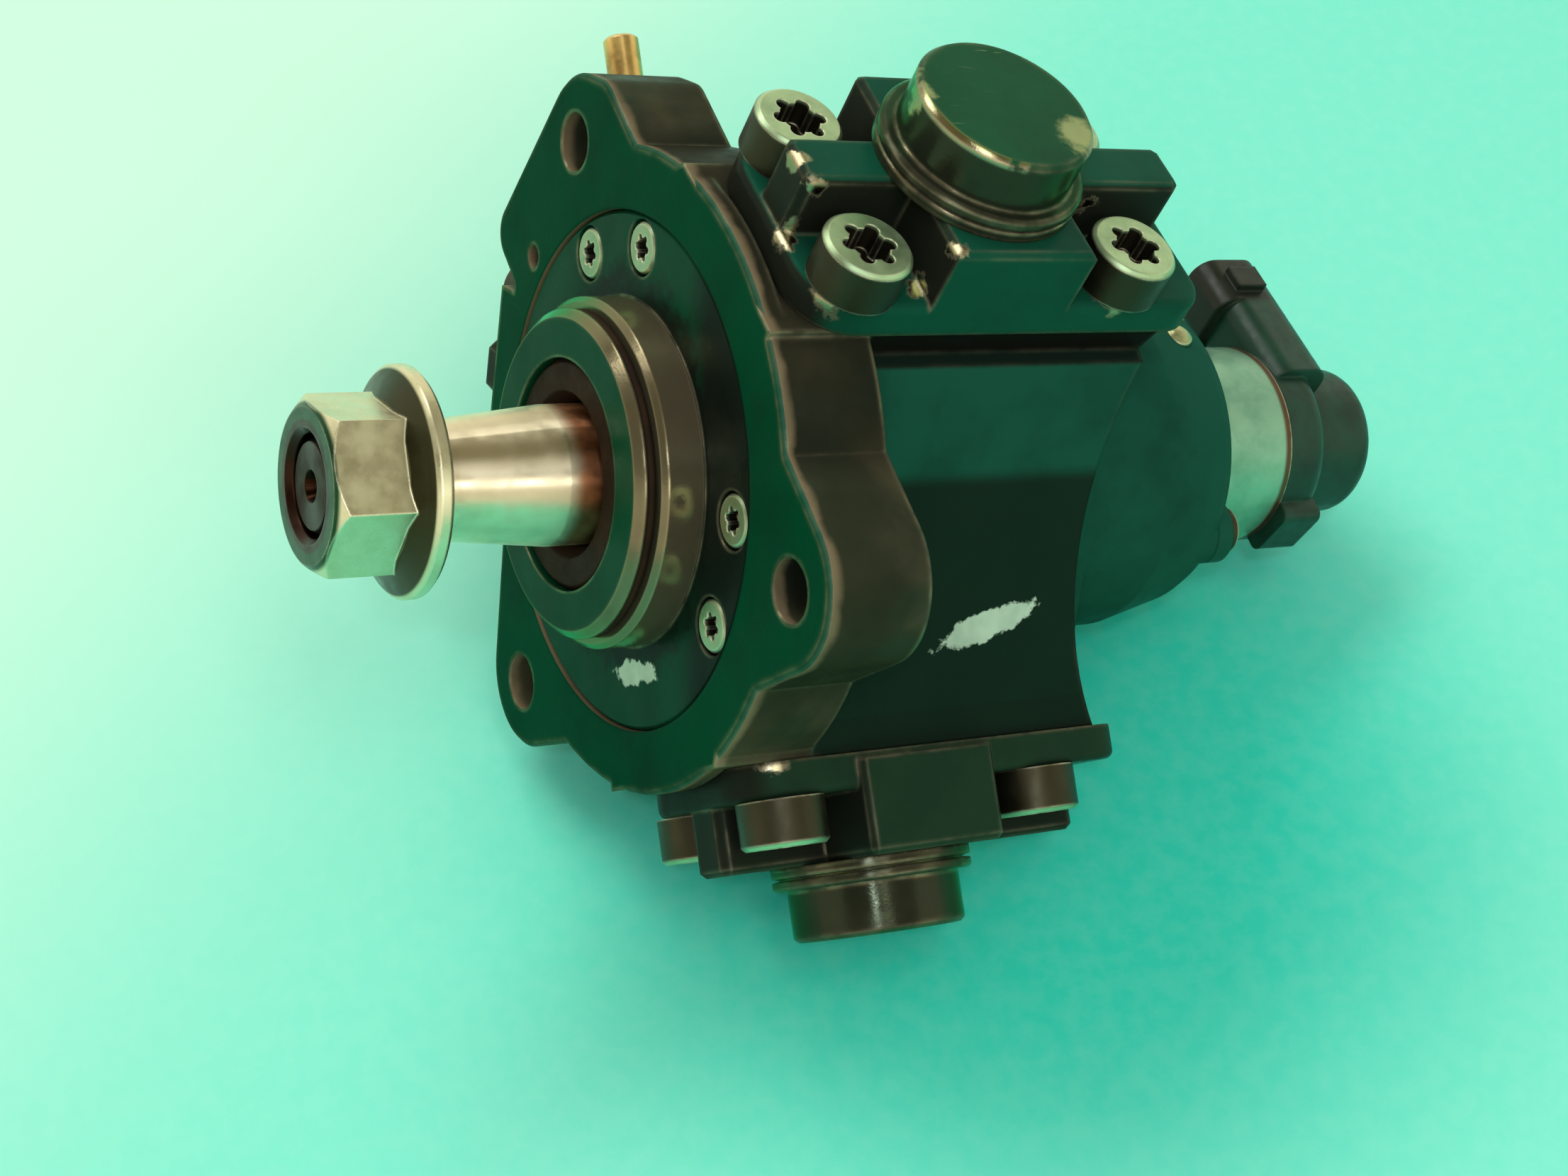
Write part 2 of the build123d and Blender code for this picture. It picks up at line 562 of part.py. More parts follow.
def lobed_socket(radius, low, high):
    """Six-lobed driver recess along Z."""
    recess = upright(radius * 0.72, low, high)
    for i in range(6):
        a = radians(60 * i)
        recess += upright(radius * 0.26, low, high, 0.74 * radius * cos(a), 0.74 * radius * sin(a))
    return recess


def socket_screw(head_radius, head, shank, length, socket, edge):
    """Screw along Z, head up, underside of the head at height 0."""
    screw = lathe([
        (0, -length),
        (shank - 0.4, -length),
        (shank, -length + 0.4),
        (shank, 0),
        (head_radius, 0),
        (head_radius, head - edge),
        (head_radius - edge, head),
        (0, head),
    ])
    return screw - lobed_socket(socket, head * 0.4, head + 1)


def cover_screws():
    screw = Rot(0, -90, 0) * socket_screw(
        COVER_SCREW_HEAD_RADIUS,
        COVER_SCREW_HEAD,
        COVER_SCREW_SHANK - SEAT_GAP,
        COVER_SCREW_LENGTH - COVER_SCREW_HEAD,
        2.0,
        0.4,
    )
    seat = COVER_FRONT + COVER_SCREW_HEAD
    return [Pos(*around(a, COVER_SCREW_CIRCLE, seat)) * screw for a in COVER_SCREW_ANGLES]


def o_ring(section, inner, middle):
    """O-ring about the X axis."""
    ring = Torus(inner + section, section)
    return Pos(middle, 0, 0) * Rot(0, 90, 0) * ring


def shaft_seal():
    lip = TAPER_LARGE_RADIUS + ROUND_GAP
    return turned([
        (SEAL_FRONT, lip + 1.6),
        (SEAL_FRONT, SEAL_RADIUS - 0.8),
        (SEAL_FRONT + 0.8, SEAL_RADIUS),
        (SEAL_REAR - 0.1, SEAL_RADIUS),
        (SEAL_REAR - 0.1, SEAL_RADIUS - 1.4),
        (SEAL_FRONT + 1.6, SEAL_RADIUS - 1.4),
        (SEAL_FRONT + 1.6, lip + 2.6),
        (SEAL_FRONT + 4.6, lip + 1.8),
        (SEAL_FRONT + 4.2, lip),
        (SEAL_FRONT + 2.6, lip),
    ])


# ---------------------------------------------------------------- shaft and nut
def drive_shaft():
    small = TAPER_LARGE_RADIUS - TAPER_RATIO * (TAPER_REAR - TAPER_FRONT)
    thread = [(TAPER_FRONT, THREAD_RADIUS)]
    steps = int((TAPER_FRONT - THREAD_FRONT - 1.0) / THREAD_PITCH)
    for i in range(steps):
        x = TAPER_FRONT - i * THREAD_PITCH
        thread.append((x - THREAD_PITCH / 2, THREAD_RADIUS - 0.6))
        thread.append((x - THREAD_PITCH, THREAD_RADIUS))
    thread += [(THREAD_FRONT, THREAD_RADIUS - 1.0), (THREAD_FRONT, 0)]
    rear = [
        (SHAFT_REAR, 0),
        (SHAFT_REAR, REAR_JOURNAL_RADIUS - 1),
        (SHAFT_REAR - 1, REAR_JOURNAL_RADIUS),
        (HEAD_X + ECCENTRIC_HALF - 1, REAR_JOURNAL_RADIUS),
        (HEAD_X, REAR_JOURNAL_RADIUS - 0.5),
        (COLLAR_REAR, FRONT_JOURNAL_RADIUS - 2),
        (COLLAR_REAR, THRUST_RADIUS),
        (COLLAR_FRONT, THRUST_RADIUS),
        (COLLAR_FRONT, FRONT_JOURNAL_RADIUS),
        (SEAL_REAR + 1.2, FRONT_JOURNAL_RADIUS),
        (SEAL_REAR + 1.2, TAPER_LARGE_RADIUS),
        (TAPER_REAR, TAPER_LARGE_RADIUS),
        (TAPER_FRONT, small),
    ]
    solid = turned(rear + thread)
    solid += Pos(0, 0, ECCENTRIC_Z) * rod(
        ECCENTRIC_RADIUS, HEAD_X - ECCENTRIC_HALF, HEAD_X + ECCENTRIC_HALF
    )
    solid -= turned([
        (THREAD_FRONT - 1, 0),
        (THREAD_FRONT - 1, 2.6),
        (THREAD_FRONT + 2, 1.6),
        (THREAD_FRONT + 6, 1.6),
        (THREAD_FRONT + 7, 0),
    ])
    return solid


def shaft_nut():
    bore = THREAD_RADIUS + LOOSE_FIT
    corner = NUT_ACROSS_FLATS / 2 / cos(radians(30))
    bar = Rot(0, 90, 0) * hexagon_bar(NUT_ACROSS_FLATS, 0, NUT_WASHER_FRONT + 1 - NUT_FRONT)
    solid = Pos(NUT_FRONT, 0, 0) * bar
    solid &= turned([
        (NUT_FRONT, 0),
        (NUT_FRONT, NUT_ACROSS_FLATS / 2 - 0.3),
        (NUT_FRONT + 1.6, corner),
        (NUT_WASHER_FRONT + 1, corner),
        (NUT_WASHER_FRONT + 1, 0),
    ])
    rear = NUT_WASHER_FRONT + NUT_WASHER_THICKNESS
    solid += turned([
        (NUT_WASHER_FRONT - 1.4, 0),
        (NUT_WASHER_FRONT - 1.4, corner - 1.2),
        (NUT_WASHER_FRONT, corner + 1.6),
        (NUT_WASHER_FRONT + 0.6, NUT_WASHER_RADIUS - 0.5),
        (NUT_WASHER_FRONT + 1.1, NUT_WASHER_RADIUS),
        (rear - 0.5, NUT_WASHER_RADIUS),
        (rear, NUT_WASHER_RADIUS - 0.5),
        (rear, 0),
    ])
    return solid - turned([
        (NUT_FRONT - 1, 0),
        (NUT_FRONT - 1, bore + 1.8),
        (NUT_FRONT + 0.9, bore),
        (rear - 0.6, bore),
        (rear, NUT_SKIRT_BORE),
        (rear + 1, NUT_SKIRT_BORE),
        (rear + 1, 0),
    ])


# ---------------------------------------------------------------- eccentric ring and plungers
def eccentric_ring():
    """Ring with three flats, one under each plunger plate."""
    face = Circle(RING_CORNER)
    for angle in HEAD_ANGLES:
        beyond = 2 * RING_CORNER
        corners = [
            flange_point(angle, -beyond, RING_FLAT),
            flange_point(angle, beyond, RING_FLAT),
            flange_point(angle, beyond, beyond),
            flange_point(angle, -beyond, beyond),
        ]
        face -= make_face(Polyline(*corners, close=True))
    face -= Circle(RING_BUSH_RADIUS + SEAT_GAP)
    bar = extrude(Plane.YZ * face, 2 * RING_HALF)
    return Pos(HEAD_X - RING_HALF, 0, ECCENTRIC_Z) * bar


def ring_bush():
    bush = tube(RING_BUSH_RADIUS, ECCENTRIC_RADIUS + RUNNING_FIT, HEAD_X - RING_HALF, HEAD_X + RING_HALF)
    return Pos(0, 0, ECCENTRIC_Z) * bush


def tappet_plate():
    plate = lathe([
        (0, PLATE_FOOT),
        (PLATE_RADIUS - 0.5, PLATE_FOOT),
        (PLATE_RADIUS, PLATE_FOOT + 0.5),
        (PLATE_RADIUS, PLATE_TOP),
        (PLUNGER_FOOT_RADIUS + LOOSE_FIT, PLATE_TOP),
        (PLUNGER_FOOT_RADIUS + LOOSE_FIT, PLATE_TOP - PLUNGER_FOOT),
        (0, PLATE_TOP - PLUNGER_FOOT),
    ], HEAD_X)
    return plate


def plunger():
    return lathe([
        (0, PLATE_TOP - PLUNGER_FOOT),
        (PLUNGER_FOOT_RADIUS, PLATE_TOP - PLUNGER_FOOT),
        (PLUNGER_FOOT_RADIUS, PLATE_TOP),
        (PLUNGER_RADIUS, PLATE_TOP + 0.4),
        (PLUNGER_RADIUS, PLUNGER_TOP - 0.3),
        (PLUNGER_RADIUS - 0.3, PLUNGER_TOP),
        (0, PLUNGER_TOP),
    ], HEAD_X)


def plunger_spring():
    return Pos(HEAD_X, 0, 0) * coil(
        SPRING_RADIUS, SPRING_WIRE, PLATE_TOP + FACE_GAP, SPRING_SEAT - FACE_GAP, SPRING_TURNS
    )


# ---------------------------------------------------------------- cylinder heads
def head_screw_points():
    return [
        (HEAD_SCREW_CENTRE + sx * HEAD_SCREW_X, sy * HEAD_SCREW_Y)
        for sx in (-1, 1)
        for sy in (-1, 1)
    ]


def cylinder_head():
    plate = block(
        HEAD_PLATE_FRONT, HEAD_PLATE_REAR, -HEAD_PLATE_HALF, HEAD_PLATE_HALF,
        SEAT_DISTANCE + FACE_GAP, HEAD_PLATE_TOP,
    )
    corners = plate.edges().filter_by(Axis.Z).sort_by(Axis.X)
    plate = fillet(corners[:2], HEAD_PLATE_CORNER)
    corners = plate.edges().filter_by(Axis.Z).sort_by(Axis.X)
    plate = fillet(corners[-2:], HEAD_PLATE_REAR_CORNER)
    plate = fillet(plate.faces().sort_by(Axis.Z)[-1].edges(), 1.2)
    bar = block(BLOCK_FRONT, BLOCK_REAR, -HEAD_PLATE_HALF, BLOCK_FAR, SEAT_DISTANCE + 1, HEAD_TOP)
    far_corners = bar.edges().filter_by(Axis.Z).group_by(Axis.Y)[-1]
    bar = chamfer(far_corners, BLOCK_FAR_CUT)
    web = block(WEB_FRONT, WEB_REAR, WEB_NEAR, WEB_FAR, SEAT_DISTANCE + 1, HEAD_TOP)
    web = chamfer(web.edges().filter_by(Axis.Z), 1.2)
    raised = bar + web
    raised = chamfer(raised.faces().sort_by(Axis.Z)[-1].edges(), 0.8)
    solid = plate + raised
    solid += upright(HEAD_NECK_RADIUS, HEAD_NECK_FOOT, SEAT_DISTANCE + 1, HEAD_X)
    pocket = upright(SPRING_POCKET_RADIUS, HEAD_NECK_FOOT - 1, SPRING_SEAT, HEAD_X)
    solid -= pocket
    solid += upright(BARREL_RADIUS, BARREL_FOOT, SPRING_SEAT + 1, HEAD_X)
    solid -= lathe([
        (0, BARREL_FOOT - 1),
        (PLUNGER_RADIUS + BARREL_CLEARANCE, BARREL_FOOT - 1),
        (PLUNGER_RADIUS + BARREL_CLEARANCE, CHAMBER_TOP),
        (INLET_STEM_RADIUS + RUNNING_FIT, CHAMBER_TOP),
        (INLET_STEM_RADIUS + RUNNING_FIT, INLET_CHAMBER_FLOOR),
        (INLET_CHAMBER_RADIUS, INLET_CHAMBER_FLOOR),
        (INLET_CHAMBER_RADIUS, CAP_FOOT - FACE_GAP),
        (CAP_THREAD_RADIUS + LOOSE_FIT, CAP_FOOT - FACE_GAP),
        (CAP_THREAD_RADIUS + LOOSE_FIT, HEAD_TOP + 1),
        (0, HEAD_TOP + 1),
    ], HEAD_X)
    for x, y in head_screw_points():
        solid -= upright(HEAD_SCREW_SHANK + LOOSE_FIT, SEAT_DISTANCE - 1, HEAD_PLATE_TOP + 1, x, y)
        clear = upright(HEAD_SCREW_HEAD_RADIUS + 0.5, HEAD_PLATE_TOP, HEAD_TOP + 1, x, y)
        solid -= clear
    valve_bore = Pos(0, WEB_MIDDLE, DELIVERY_HEIGHT) * rod(
        DELIVERY_BORE_RADIUS, HEAD_X + DELIVERY_SEAT, WEB_REAR + 1
    )
    port = Pos(0, WEB_MIDDLE, DELIVERY_HEIGHT) * rod(
        DELIVERY_PORT_RADIUS, HEAD_X + 1, HEAD_X + DELIVERY_SEAT + 1
    )
    return solid - valve_bore - port


def head_cap():
    foot = HEAD_TOP + FACE_GAP
    mid = foot + CAP_RING_HEIGHT
    upper = CAP_RING_TOP - CAP_RING_HEIGHT
    return lathe([
        (INLET_CHAMBER_RADIUS, CAP_FOOT),
        (CAP_THREAD_RADIUS, CAP_FOOT),
        (CAP_THREAD_RADIUS, foot),
        (CAP_RING_RADIUS, foot),
        (CAP_RING_RADIUS, mid),
        (CAP_RING_RADIUS - CAP_GROOVE_DEPTH, mid + 0.2),
        (CAP_RING_RADIUS - CAP_GROOVE_DEPTH, upper - 0.2),
        (CAP_RING_RADIUS, upper),
        (CAP_RING_RADIUS, CAP_RING_TOP - 0.4),
        (CAP_RING_RADIUS - 0.5, CAP_RING_TOP),
        (CAP_RADIUS, CAP_RING_TOP),
        (CAP_RADIUS, CAP_TOP - CAP_CHAMFER),
        (CAP_RADIUS - CAP_CHAMFER, CAP_TOP),
        (0, CAP_TOP),
        (0, CAP_HOLLOW_TOP),
        (INLET_CHAMBER_RADIUS, CAP_HOLLOW_TOP - 2),
    ], HEAD_X)


def head_screws():
    length = HEAD_PLATE_TOP - HEAD_SCREW_FOOT
    screw = socket_screw(
        HEAD_SCREW_HEAD_RADIUS,
        HEAD_SCREW_TOP - HEAD_PLATE_TOP,
        HEAD_SCREW_SHANK - SEAT_GAP,
        length,
        4.0,
        0.6,
    )
    return [Pos(x, y, HEAD_PLATE_TOP) * screw for x, y in head_screw_points()]


def inlet_valve():
    return lathe([
        (0, CHAMBER_TOP - INLET_HEAD_THICKNESS - FACE_GAP),
        (INLET_HEAD_RADIUS, CHAMBER_TOP - INLET_HEAD_THICKNESS - FACE_GAP),
        (INLET_HEAD_RADIUS, CHAMBER_TOP - FACE_GAP),
        (INLET_STEM_RADIUS, CHAMBER_TOP - FACE_GAP),
        (INLET_STEM_RADIUS, INLET_STEM_TOP - INLET_COLLAR_THICKNESS),
        (INLET_COLLAR_RADIUS, INLET_STEM_TOP - INLET_COLLAR_THICKNESS),
        (INLET_COLLAR_RADIUS, INLET_STEM_TOP),
        (0, INLET_STEM_TOP),
    ], HEAD_X)


def inlet_spring():
    top = INLET_STEM_TOP - INLET_COLLAR_THICKNESS
    return Pos(HEAD_X, 0, 0) * coil(
        INLET_SPRING_RADIUS, INLET_SPRING_WIRE, INLET_CHAMBER_FLOOR + FACE_GAP, top - FACE_GAP, INLET_SPRING_TURNS
    )


def delivery_place(offset):
    return Pos(HEAD_X + DELIVERY_SEAT + offset, WEB_MIDDLE, DELIVERY_HEIGHT)


def delivery_ball():
    return delivery_place(DELIVERY_BALL_RADIUS + FACE_GAP) * Sphere(DELIVERY_BALL_RADIUS)


def delivery_spring():
    spring = coil(DELIVERY_SPRING_RADIUS, DELIVERY_SPRING_WIRE, 0, DELIVERY_SPRING_LENGTH, DELIVERY_SPRING_TURNS)
    return delivery_place(DELIVERY_SPRING_OFFSET) * Rot(0, 90, 0) * spring


def delivery_plug():
    start = HEAD_X + DELIVERY_SEAT + DELIVERY_SPRING_OFFSET + DELIVERY_SPRING_LENGTH + FACE_GAP
    plug = rod(DELIVERY_BORE_RADIUS - SEAT_GAP, start, WEB_REAR - 0.6)
    socket = Pos(WEB_REAR - 3, 0, 0) * Rot(0, 90, 0) * hexagon_bar(2.5, 0, 4)
    return Pos(0, WEB_MIDDLE, DELIVERY_HEIGHT) * (plug - socket)


# ---------------------------------------------------------------- metering valve
def metering_valve_body():
    flange_front = REAR_FACE + FACE_GAP
    flange_rear = REAR_FACE + VALVE_FLANGE_THICKNESS
    solid = rod(VALVE_FLANGE_RADIUS, flange_front, flange_rear)
    for angle in VALVE_SCREW_ANGLES:
        solid += Pos(*around(angle, VALVE_SCREW_CIRCLE)) * rod(VALVE_EAR_RADIUS, flange_front, flange_rear)
    solid += rod(VALVE_BORE_RADIUS - LOOSE_FIT, VALVE_BORE_FRONT + 0.5, flange_rear)
    solid += rod(CORE_RADIUS, flange_front, CORE_REAR)
    ring_rear = VALVE_RING_FRONT + VALVE_RING_WIDTH
    solid -= tube(VALVE_BORE_RADIUS + 1, VALVE_RING_GROOVE, VALVE_RING_FRONT, ring_rear)
    solid -= rod(PISTON_RADIUS + RUNNING_FIT, VALVE_BORE_FRONT - 1, PISTON_BORE_REAR)
    for angle in VALVE_SCREW_ANGLES:
        hole = rod(VALVE_SCREW_SHANK + LOOSE_FIT, REAR_FACE - 1, flange_rear + 1)
        solid -= Pos(*around(angle, VALVE_SCREW_CIRCLE)) * hole
    return solid


def metering_valve_can():
    front = REAR_FACE + VALVE_FLANGE_THICKNESS + CAN_FRONT_GAP
    return tube(CAN_RADIUS, CAN_RADIUS - CAN_WALL, front, CAN_REAR)


def metering_coil():
    front = REAR_FACE + VALVE_FLANGE_THICKNESS + CAN_FRONT_GAP
    return tube(COIL_RADIUS, COIL_BORE, front, CAN_REAR)


def metering_valve_cap():
    front = CAN_REAR + FACE_GAP
    solid = rod(CAN_RADIUS - 0.1, front, VALVE_CAP_STEP)
    solid = fillet(solid.faces().sort_by(Axis.X)[-1].edges(), VALVE_CAP_ROUND)
    dome = rod(VALVE_CAP_DOME_RADIUS, VALVE_CAP_STEP - VALVE_CAP_ROUND, VALVE_CAP_REAR)
    solid += fillet(dome.faces().sort_by(Axis.X)[-1].edges(), VALVE_CAP_ROUND)
    tower = block(CONNECTOR_FRONT, CONNECTOR_REAR, CAN_RADIUS + 0.4, CONNECTOR_END, CONNECTOR_LOW, CONNECTOR_HIGH)
    tower = fillet(tower.edges().filter_by(Axis.Y), CONNECTOR_CORNER)
    root = block(front, CONNECTOR_REAR, 0, CONNECTOR_END - 2, CONNECTOR_LOW, CONNECTOR_HIGH)
    root = fillet(root.edges().filter_by(Axis.Y), CONNECTOR_CORNER)
    rib = block(
        connector_middle() - 2 * CONNECTOR_RIB, connector_middle() + 2 * CONNECTOR_RIB,
        CAN_RADIUS + 2, CONNECTOR_END - 3, CONNECTOR_HIGH - 1, CONNECTOR_HIGH + CONNECTOR_RIB,
    )
    solid += tower + root + rib
    cavity = block(
        CONNECTOR_FRONT + CONNECTOR_WALL,
        CONNECTOR_REAR - CONNECTOR_WALL,
        CONNECTOR_END - CONNECTOR_DEPTH,
        CONNECTOR_END + 1,
        CONNECTOR_LOW + CONNECTOR_WALL,
        CONNECTOR_HIGH - CONNECTOR_WALL,
    )
    solid -= fillet(cavity.edges().filter_by(Axis.Y), CONNECTOR_CORNER - CONNECTOR_WALL)
    foot = block(front, FOOT_REAR, -FOOT_HALF, FOOT_HALF, 0, FOOT_REACH)
    foot = fillet(foot.edges().filter_by(Axis.X), 1.5)
    return solid + turn(FOOT_ANGLE) * foot


def connector_middle():
    return (CONNECTOR_FRONT + CONNECTOR_REAR) / 2


def connector_pins():
    floor = CONNECTOR_END - CONNECTOR_DEPTH
    z = (CONNECTOR_LOW + CONNECTOR_HIGH) / 2
    pins = []
    for side in (-1, 1):
        x = connector_middle() + side * PIN_SPACING / 2
        pins.append(block(x - PIN_HALF, x + PIN_HALF, floor, floor + PIN_LENGTH, z - PIN_HALF, z + PIN_HALF))
    return pins


def valve_screws():
    screw = Rot(0, 90, 0) * socket_screw(
        VALVE_SCREW_HEAD_RADIUS,
        VALVE_SCREW_HEAD,
        VALVE_SCREW_SHANK - SEAT_GAP,
        VALVE_SCREW_LENGTH,
        2.4,
        0.4,
    )
    seat = REAR_FACE + VALVE_FLANGE_THICKNESS
    return [Pos(*around(a, VALVE_SCREW_CIRCLE, seat)) * screw for a in VALVE_SCREW_ANGLES]


def metering_piston():
    piston = rod(PISTON_RADIUS, PISTON_FRONT, PISTON_FRONT + PISTON_LENGTH)
    return piston - rod(PISTON_BORE, PISTON_FRONT - 1, PISTON_FRONT + PISTON_LENGTH + 1)


def metering_spring():
    length = PISTON_BORE_REAR - PISTON_FRONT - PISTON_LENGTH
    spring = coil(PISTON_SPRING_RADIUS, PISTON_SPRING_WIRE, FACE_GAP, length - FACE_GAP, PISTON_SPRING_TURNS)
    return Pos(PISTON_FRONT + PISTON_LENGTH, 0, 0) * Rot(0, 90, 0) * spring


# ---------------------------------------------------------------- fittings
def hose_stub(x, across, low, end):
    """Threaded hose stub standing on the far flank, its hexagon at height low."""
    stub = lathe([
        (RETURN_BORE_RADIUS, low - 5.5),
        (RETURN_THREAD_RADIUS - SEAT_GAP, low - 5.5),
        (RETURN_THREAD_RADIUS - SEAT_GAP, low + 1),
        (RETURN_TUBE_RADIUS, low + 1),
        (RETURN_TUBE_RADIUS, end - 0.4),
        (RETURN_TUBE_RADIUS - 0.4, end),
        (RETURN_BORE_RADIUS, end),
    ], x, across)
    collar = hexagon_bar(STUB_HEX, low + FACE_GAP, low + HEX_HEIGHT, x, across)
    bore = upright(RETURN_BORE_RADIUS, low - 6, end + 1, x, across)
    return turn(60) * (stub + collar - bore)


def outlet_union():
    low = FLANK_DISTANCE
    hexagon = hexagon_bar(UNION_HEX, low + FACE_GAP, low + HEX_HEIGHT, OUTLET_X)
    thread = [(0, low - 3.8), (UNION_THREAD_RADIUS - 1 - SEAT_GAP, low - 3.8)]
    thread += [(UNION_THREAD_RADIUS - 1 - SEAT_GAP, low + 1), (UNION_THREAD_RADIUS, low + HEX_HEIGHT)]
    turns = int((OUTLET_END - low - HEX_HEIGHT - 1) / THREAD_PITCH)
    for i in range(turns):
        z = low + HEX_HEIGHT + 0.5 + i * THREAD_PITCH
        thread.append((UNION_THREAD_RADIUS - 0.6, z + THREAD_PITCH / 2))
        thread.append((UNION_THREAD_RADIUS, z + THREAD_PITCH))
    thread += [(UNION_THREAD_RADIUS - 0.8, OUTLET_END), (0, OUTLET_END)]
    cone = lathe([
        (0, low - 4),
        (UNION_BORE_RADIUS, low - 4),
        (UNION_BORE_RADIUS, OUTLET_END - 5),
        (UNION_CONE_RADIUS, OUTLET_END),
        (UNION_CONE_RADIUS, OUTLET_END + 1),
        (0, OUTLET_END + 1),
    ], OUTLET_X)
    return turn(180) * (lathe(thread, OUTLET_X) + hexagon - cone)


def ball_plug():
    surface = REAR_NECK_RADIUS + 1.0
    plug = lathe([
        (0, surface - 5),
        (BALL_PLUG_RADIUS - SEAT_GAP, surface - 5),
        (BALL_PLUG_RADIUS - SEAT_GAP, surface + 0.2),
        (BALL_PLUG_RADIUS - 1.0, surface + 0.8),
        (0, surface + 1.0),
    ], BALL_PLUG_X)
    return plug


# ---------------------------------------------------------------- write the nodes
save(pump_housing(), "pump_housing")
save(front_cover(), "front_cover")
save(gather(cover_screws()), "cover_screws")
save(o_ring(O_RING_RADIUS, O_RING_GROOVE_RADIUS + ROUND_GAP, PILOT_FRONT - O_RING_GROOVE_WIDTH / 2), "pilot_o_ring")
save(shaft_seal(), "shaft_seal")
save(
    tube(FRONT_BUSH_RADIUS, FRONT_JOURNAL_RADIUS + RUNNING_FIT, FRONT_BUSH_FRONT, FRONT_BUSH_REAR),
    "front_bush",
)
save(
    tube(REAR_BUSH_RADIUS, REAR_JOURNAL_RADIUS + RUNNING_FIT, REAR_BUSH_FRONT, REAR_BUSH_REAR),
    "rear_bush",
)
save(
    tube(THRUST_RADIUS, FRONT_JOURNAL_RADIUS + LOOSE_FIT, FRONT_BUSH_REAR + FACE_GAP, FRONT_BUSH_REAR + THRUST_WASHER),
    "thrust_washer",
)
save(drive_shaft(), "drive_shaft")
save(shaft_nut(), "shaft_nut")
save(eccentric_ring(), "eccentric_ring")
save(ring_bush(), "ring_bush")

all_screws = []
all_plugs = []
for number, angle in enumerate(HEAD_ANGLES, start=1):
    place = turn(angle)
    save(place * cylinder_head(), f"cylinder_head_{number}")
    save(place * head_cap(), f"head_cap_{number}")
    save(place * tappet_plate(), f"tappet_plate_{number}")
    save(place * plunger(), f"plunger_{number}")
    save(place * plunger_spring(), f"plunger_spring_{number}")
    save(place * inlet_valve(), f"inlet_valve_{number}")
    save(place * inlet_spring(), f"inlet_spring_{number}")
    save(place * delivery_ball(), f"delivery_ball_{number}")
    save(place * delivery_spring(), f"delivery_spring_{number}")
    all_screws += [place * screw for screw in head_screws()]
    all_plugs.append(place * delivery_plug())
save(gather(all_screws), "head_screws")
save(gather(all_plugs), "delivery_plugs")

save(metering_valve_body(), "metering_valve_body")
save(metering_valve_can(), "metering_valve_can")
save(metering_coil(), "metering_coil")
save(metering_valve_cap(), "metering_valve_cap")
save(gather(connector_pins()), "connector_pins")
save(gather(valve_screws()), "valve_screws")
save(
    o_ring(VALVE_RING_RADIUS, VALVE_RING_GROOVE + LOOSE_FIT, VALVE_RING_FRONT + VALVE_RING_WIDTH / 2),
    "valve_o_ring",
)
save(metering_piston(), "metering_piston")
save(metering_spring(), "metering_spring")
save(hose_stub(RETURN_X, RETURN_ACROSS, RETURN_SEAT, RETURN_END), "return_stub")
save(hose_stub(INLET_X, 0, FLANK_DISTANCE, INLET_END), "fuel_inlet_stub")
save(outlet_union(), "outlet_union")
save(ball_plug(), "ball_plug")
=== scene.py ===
"""Looks of the diesel injection pump: materials, floor, light and camera.

Everything is in metres in the pump's own frame: origin on the drive-shaft axis
at the flange's front face, +X to the rear, +Z up through cylinder 1.
"""
import json
import math

import bpy
from mathutils import Matrix, Vector

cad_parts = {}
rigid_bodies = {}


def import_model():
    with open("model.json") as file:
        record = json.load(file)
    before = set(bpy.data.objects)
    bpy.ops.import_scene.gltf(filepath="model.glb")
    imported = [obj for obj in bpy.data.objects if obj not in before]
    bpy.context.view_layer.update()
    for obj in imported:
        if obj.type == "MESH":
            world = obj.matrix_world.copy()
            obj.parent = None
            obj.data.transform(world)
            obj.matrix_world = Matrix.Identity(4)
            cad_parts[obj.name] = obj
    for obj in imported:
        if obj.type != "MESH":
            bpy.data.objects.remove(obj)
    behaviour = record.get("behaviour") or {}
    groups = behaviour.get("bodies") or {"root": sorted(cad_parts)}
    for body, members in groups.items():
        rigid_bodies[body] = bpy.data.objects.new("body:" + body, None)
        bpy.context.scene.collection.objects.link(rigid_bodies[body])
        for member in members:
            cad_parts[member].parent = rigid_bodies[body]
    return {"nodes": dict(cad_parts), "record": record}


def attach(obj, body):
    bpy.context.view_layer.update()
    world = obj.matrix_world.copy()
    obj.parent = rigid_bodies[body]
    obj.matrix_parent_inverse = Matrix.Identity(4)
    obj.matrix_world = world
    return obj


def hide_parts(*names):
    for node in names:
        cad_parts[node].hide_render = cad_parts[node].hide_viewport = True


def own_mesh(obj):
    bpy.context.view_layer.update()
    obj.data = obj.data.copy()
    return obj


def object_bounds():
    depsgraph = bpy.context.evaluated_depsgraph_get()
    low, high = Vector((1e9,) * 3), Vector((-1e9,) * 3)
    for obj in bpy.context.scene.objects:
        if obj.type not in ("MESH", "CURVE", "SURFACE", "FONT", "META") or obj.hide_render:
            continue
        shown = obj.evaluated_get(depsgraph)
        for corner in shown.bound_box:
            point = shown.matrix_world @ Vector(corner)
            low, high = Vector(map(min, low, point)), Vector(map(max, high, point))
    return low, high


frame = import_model()
cad_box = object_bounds()
nodes = frame["nodes"]

MM = 0.001

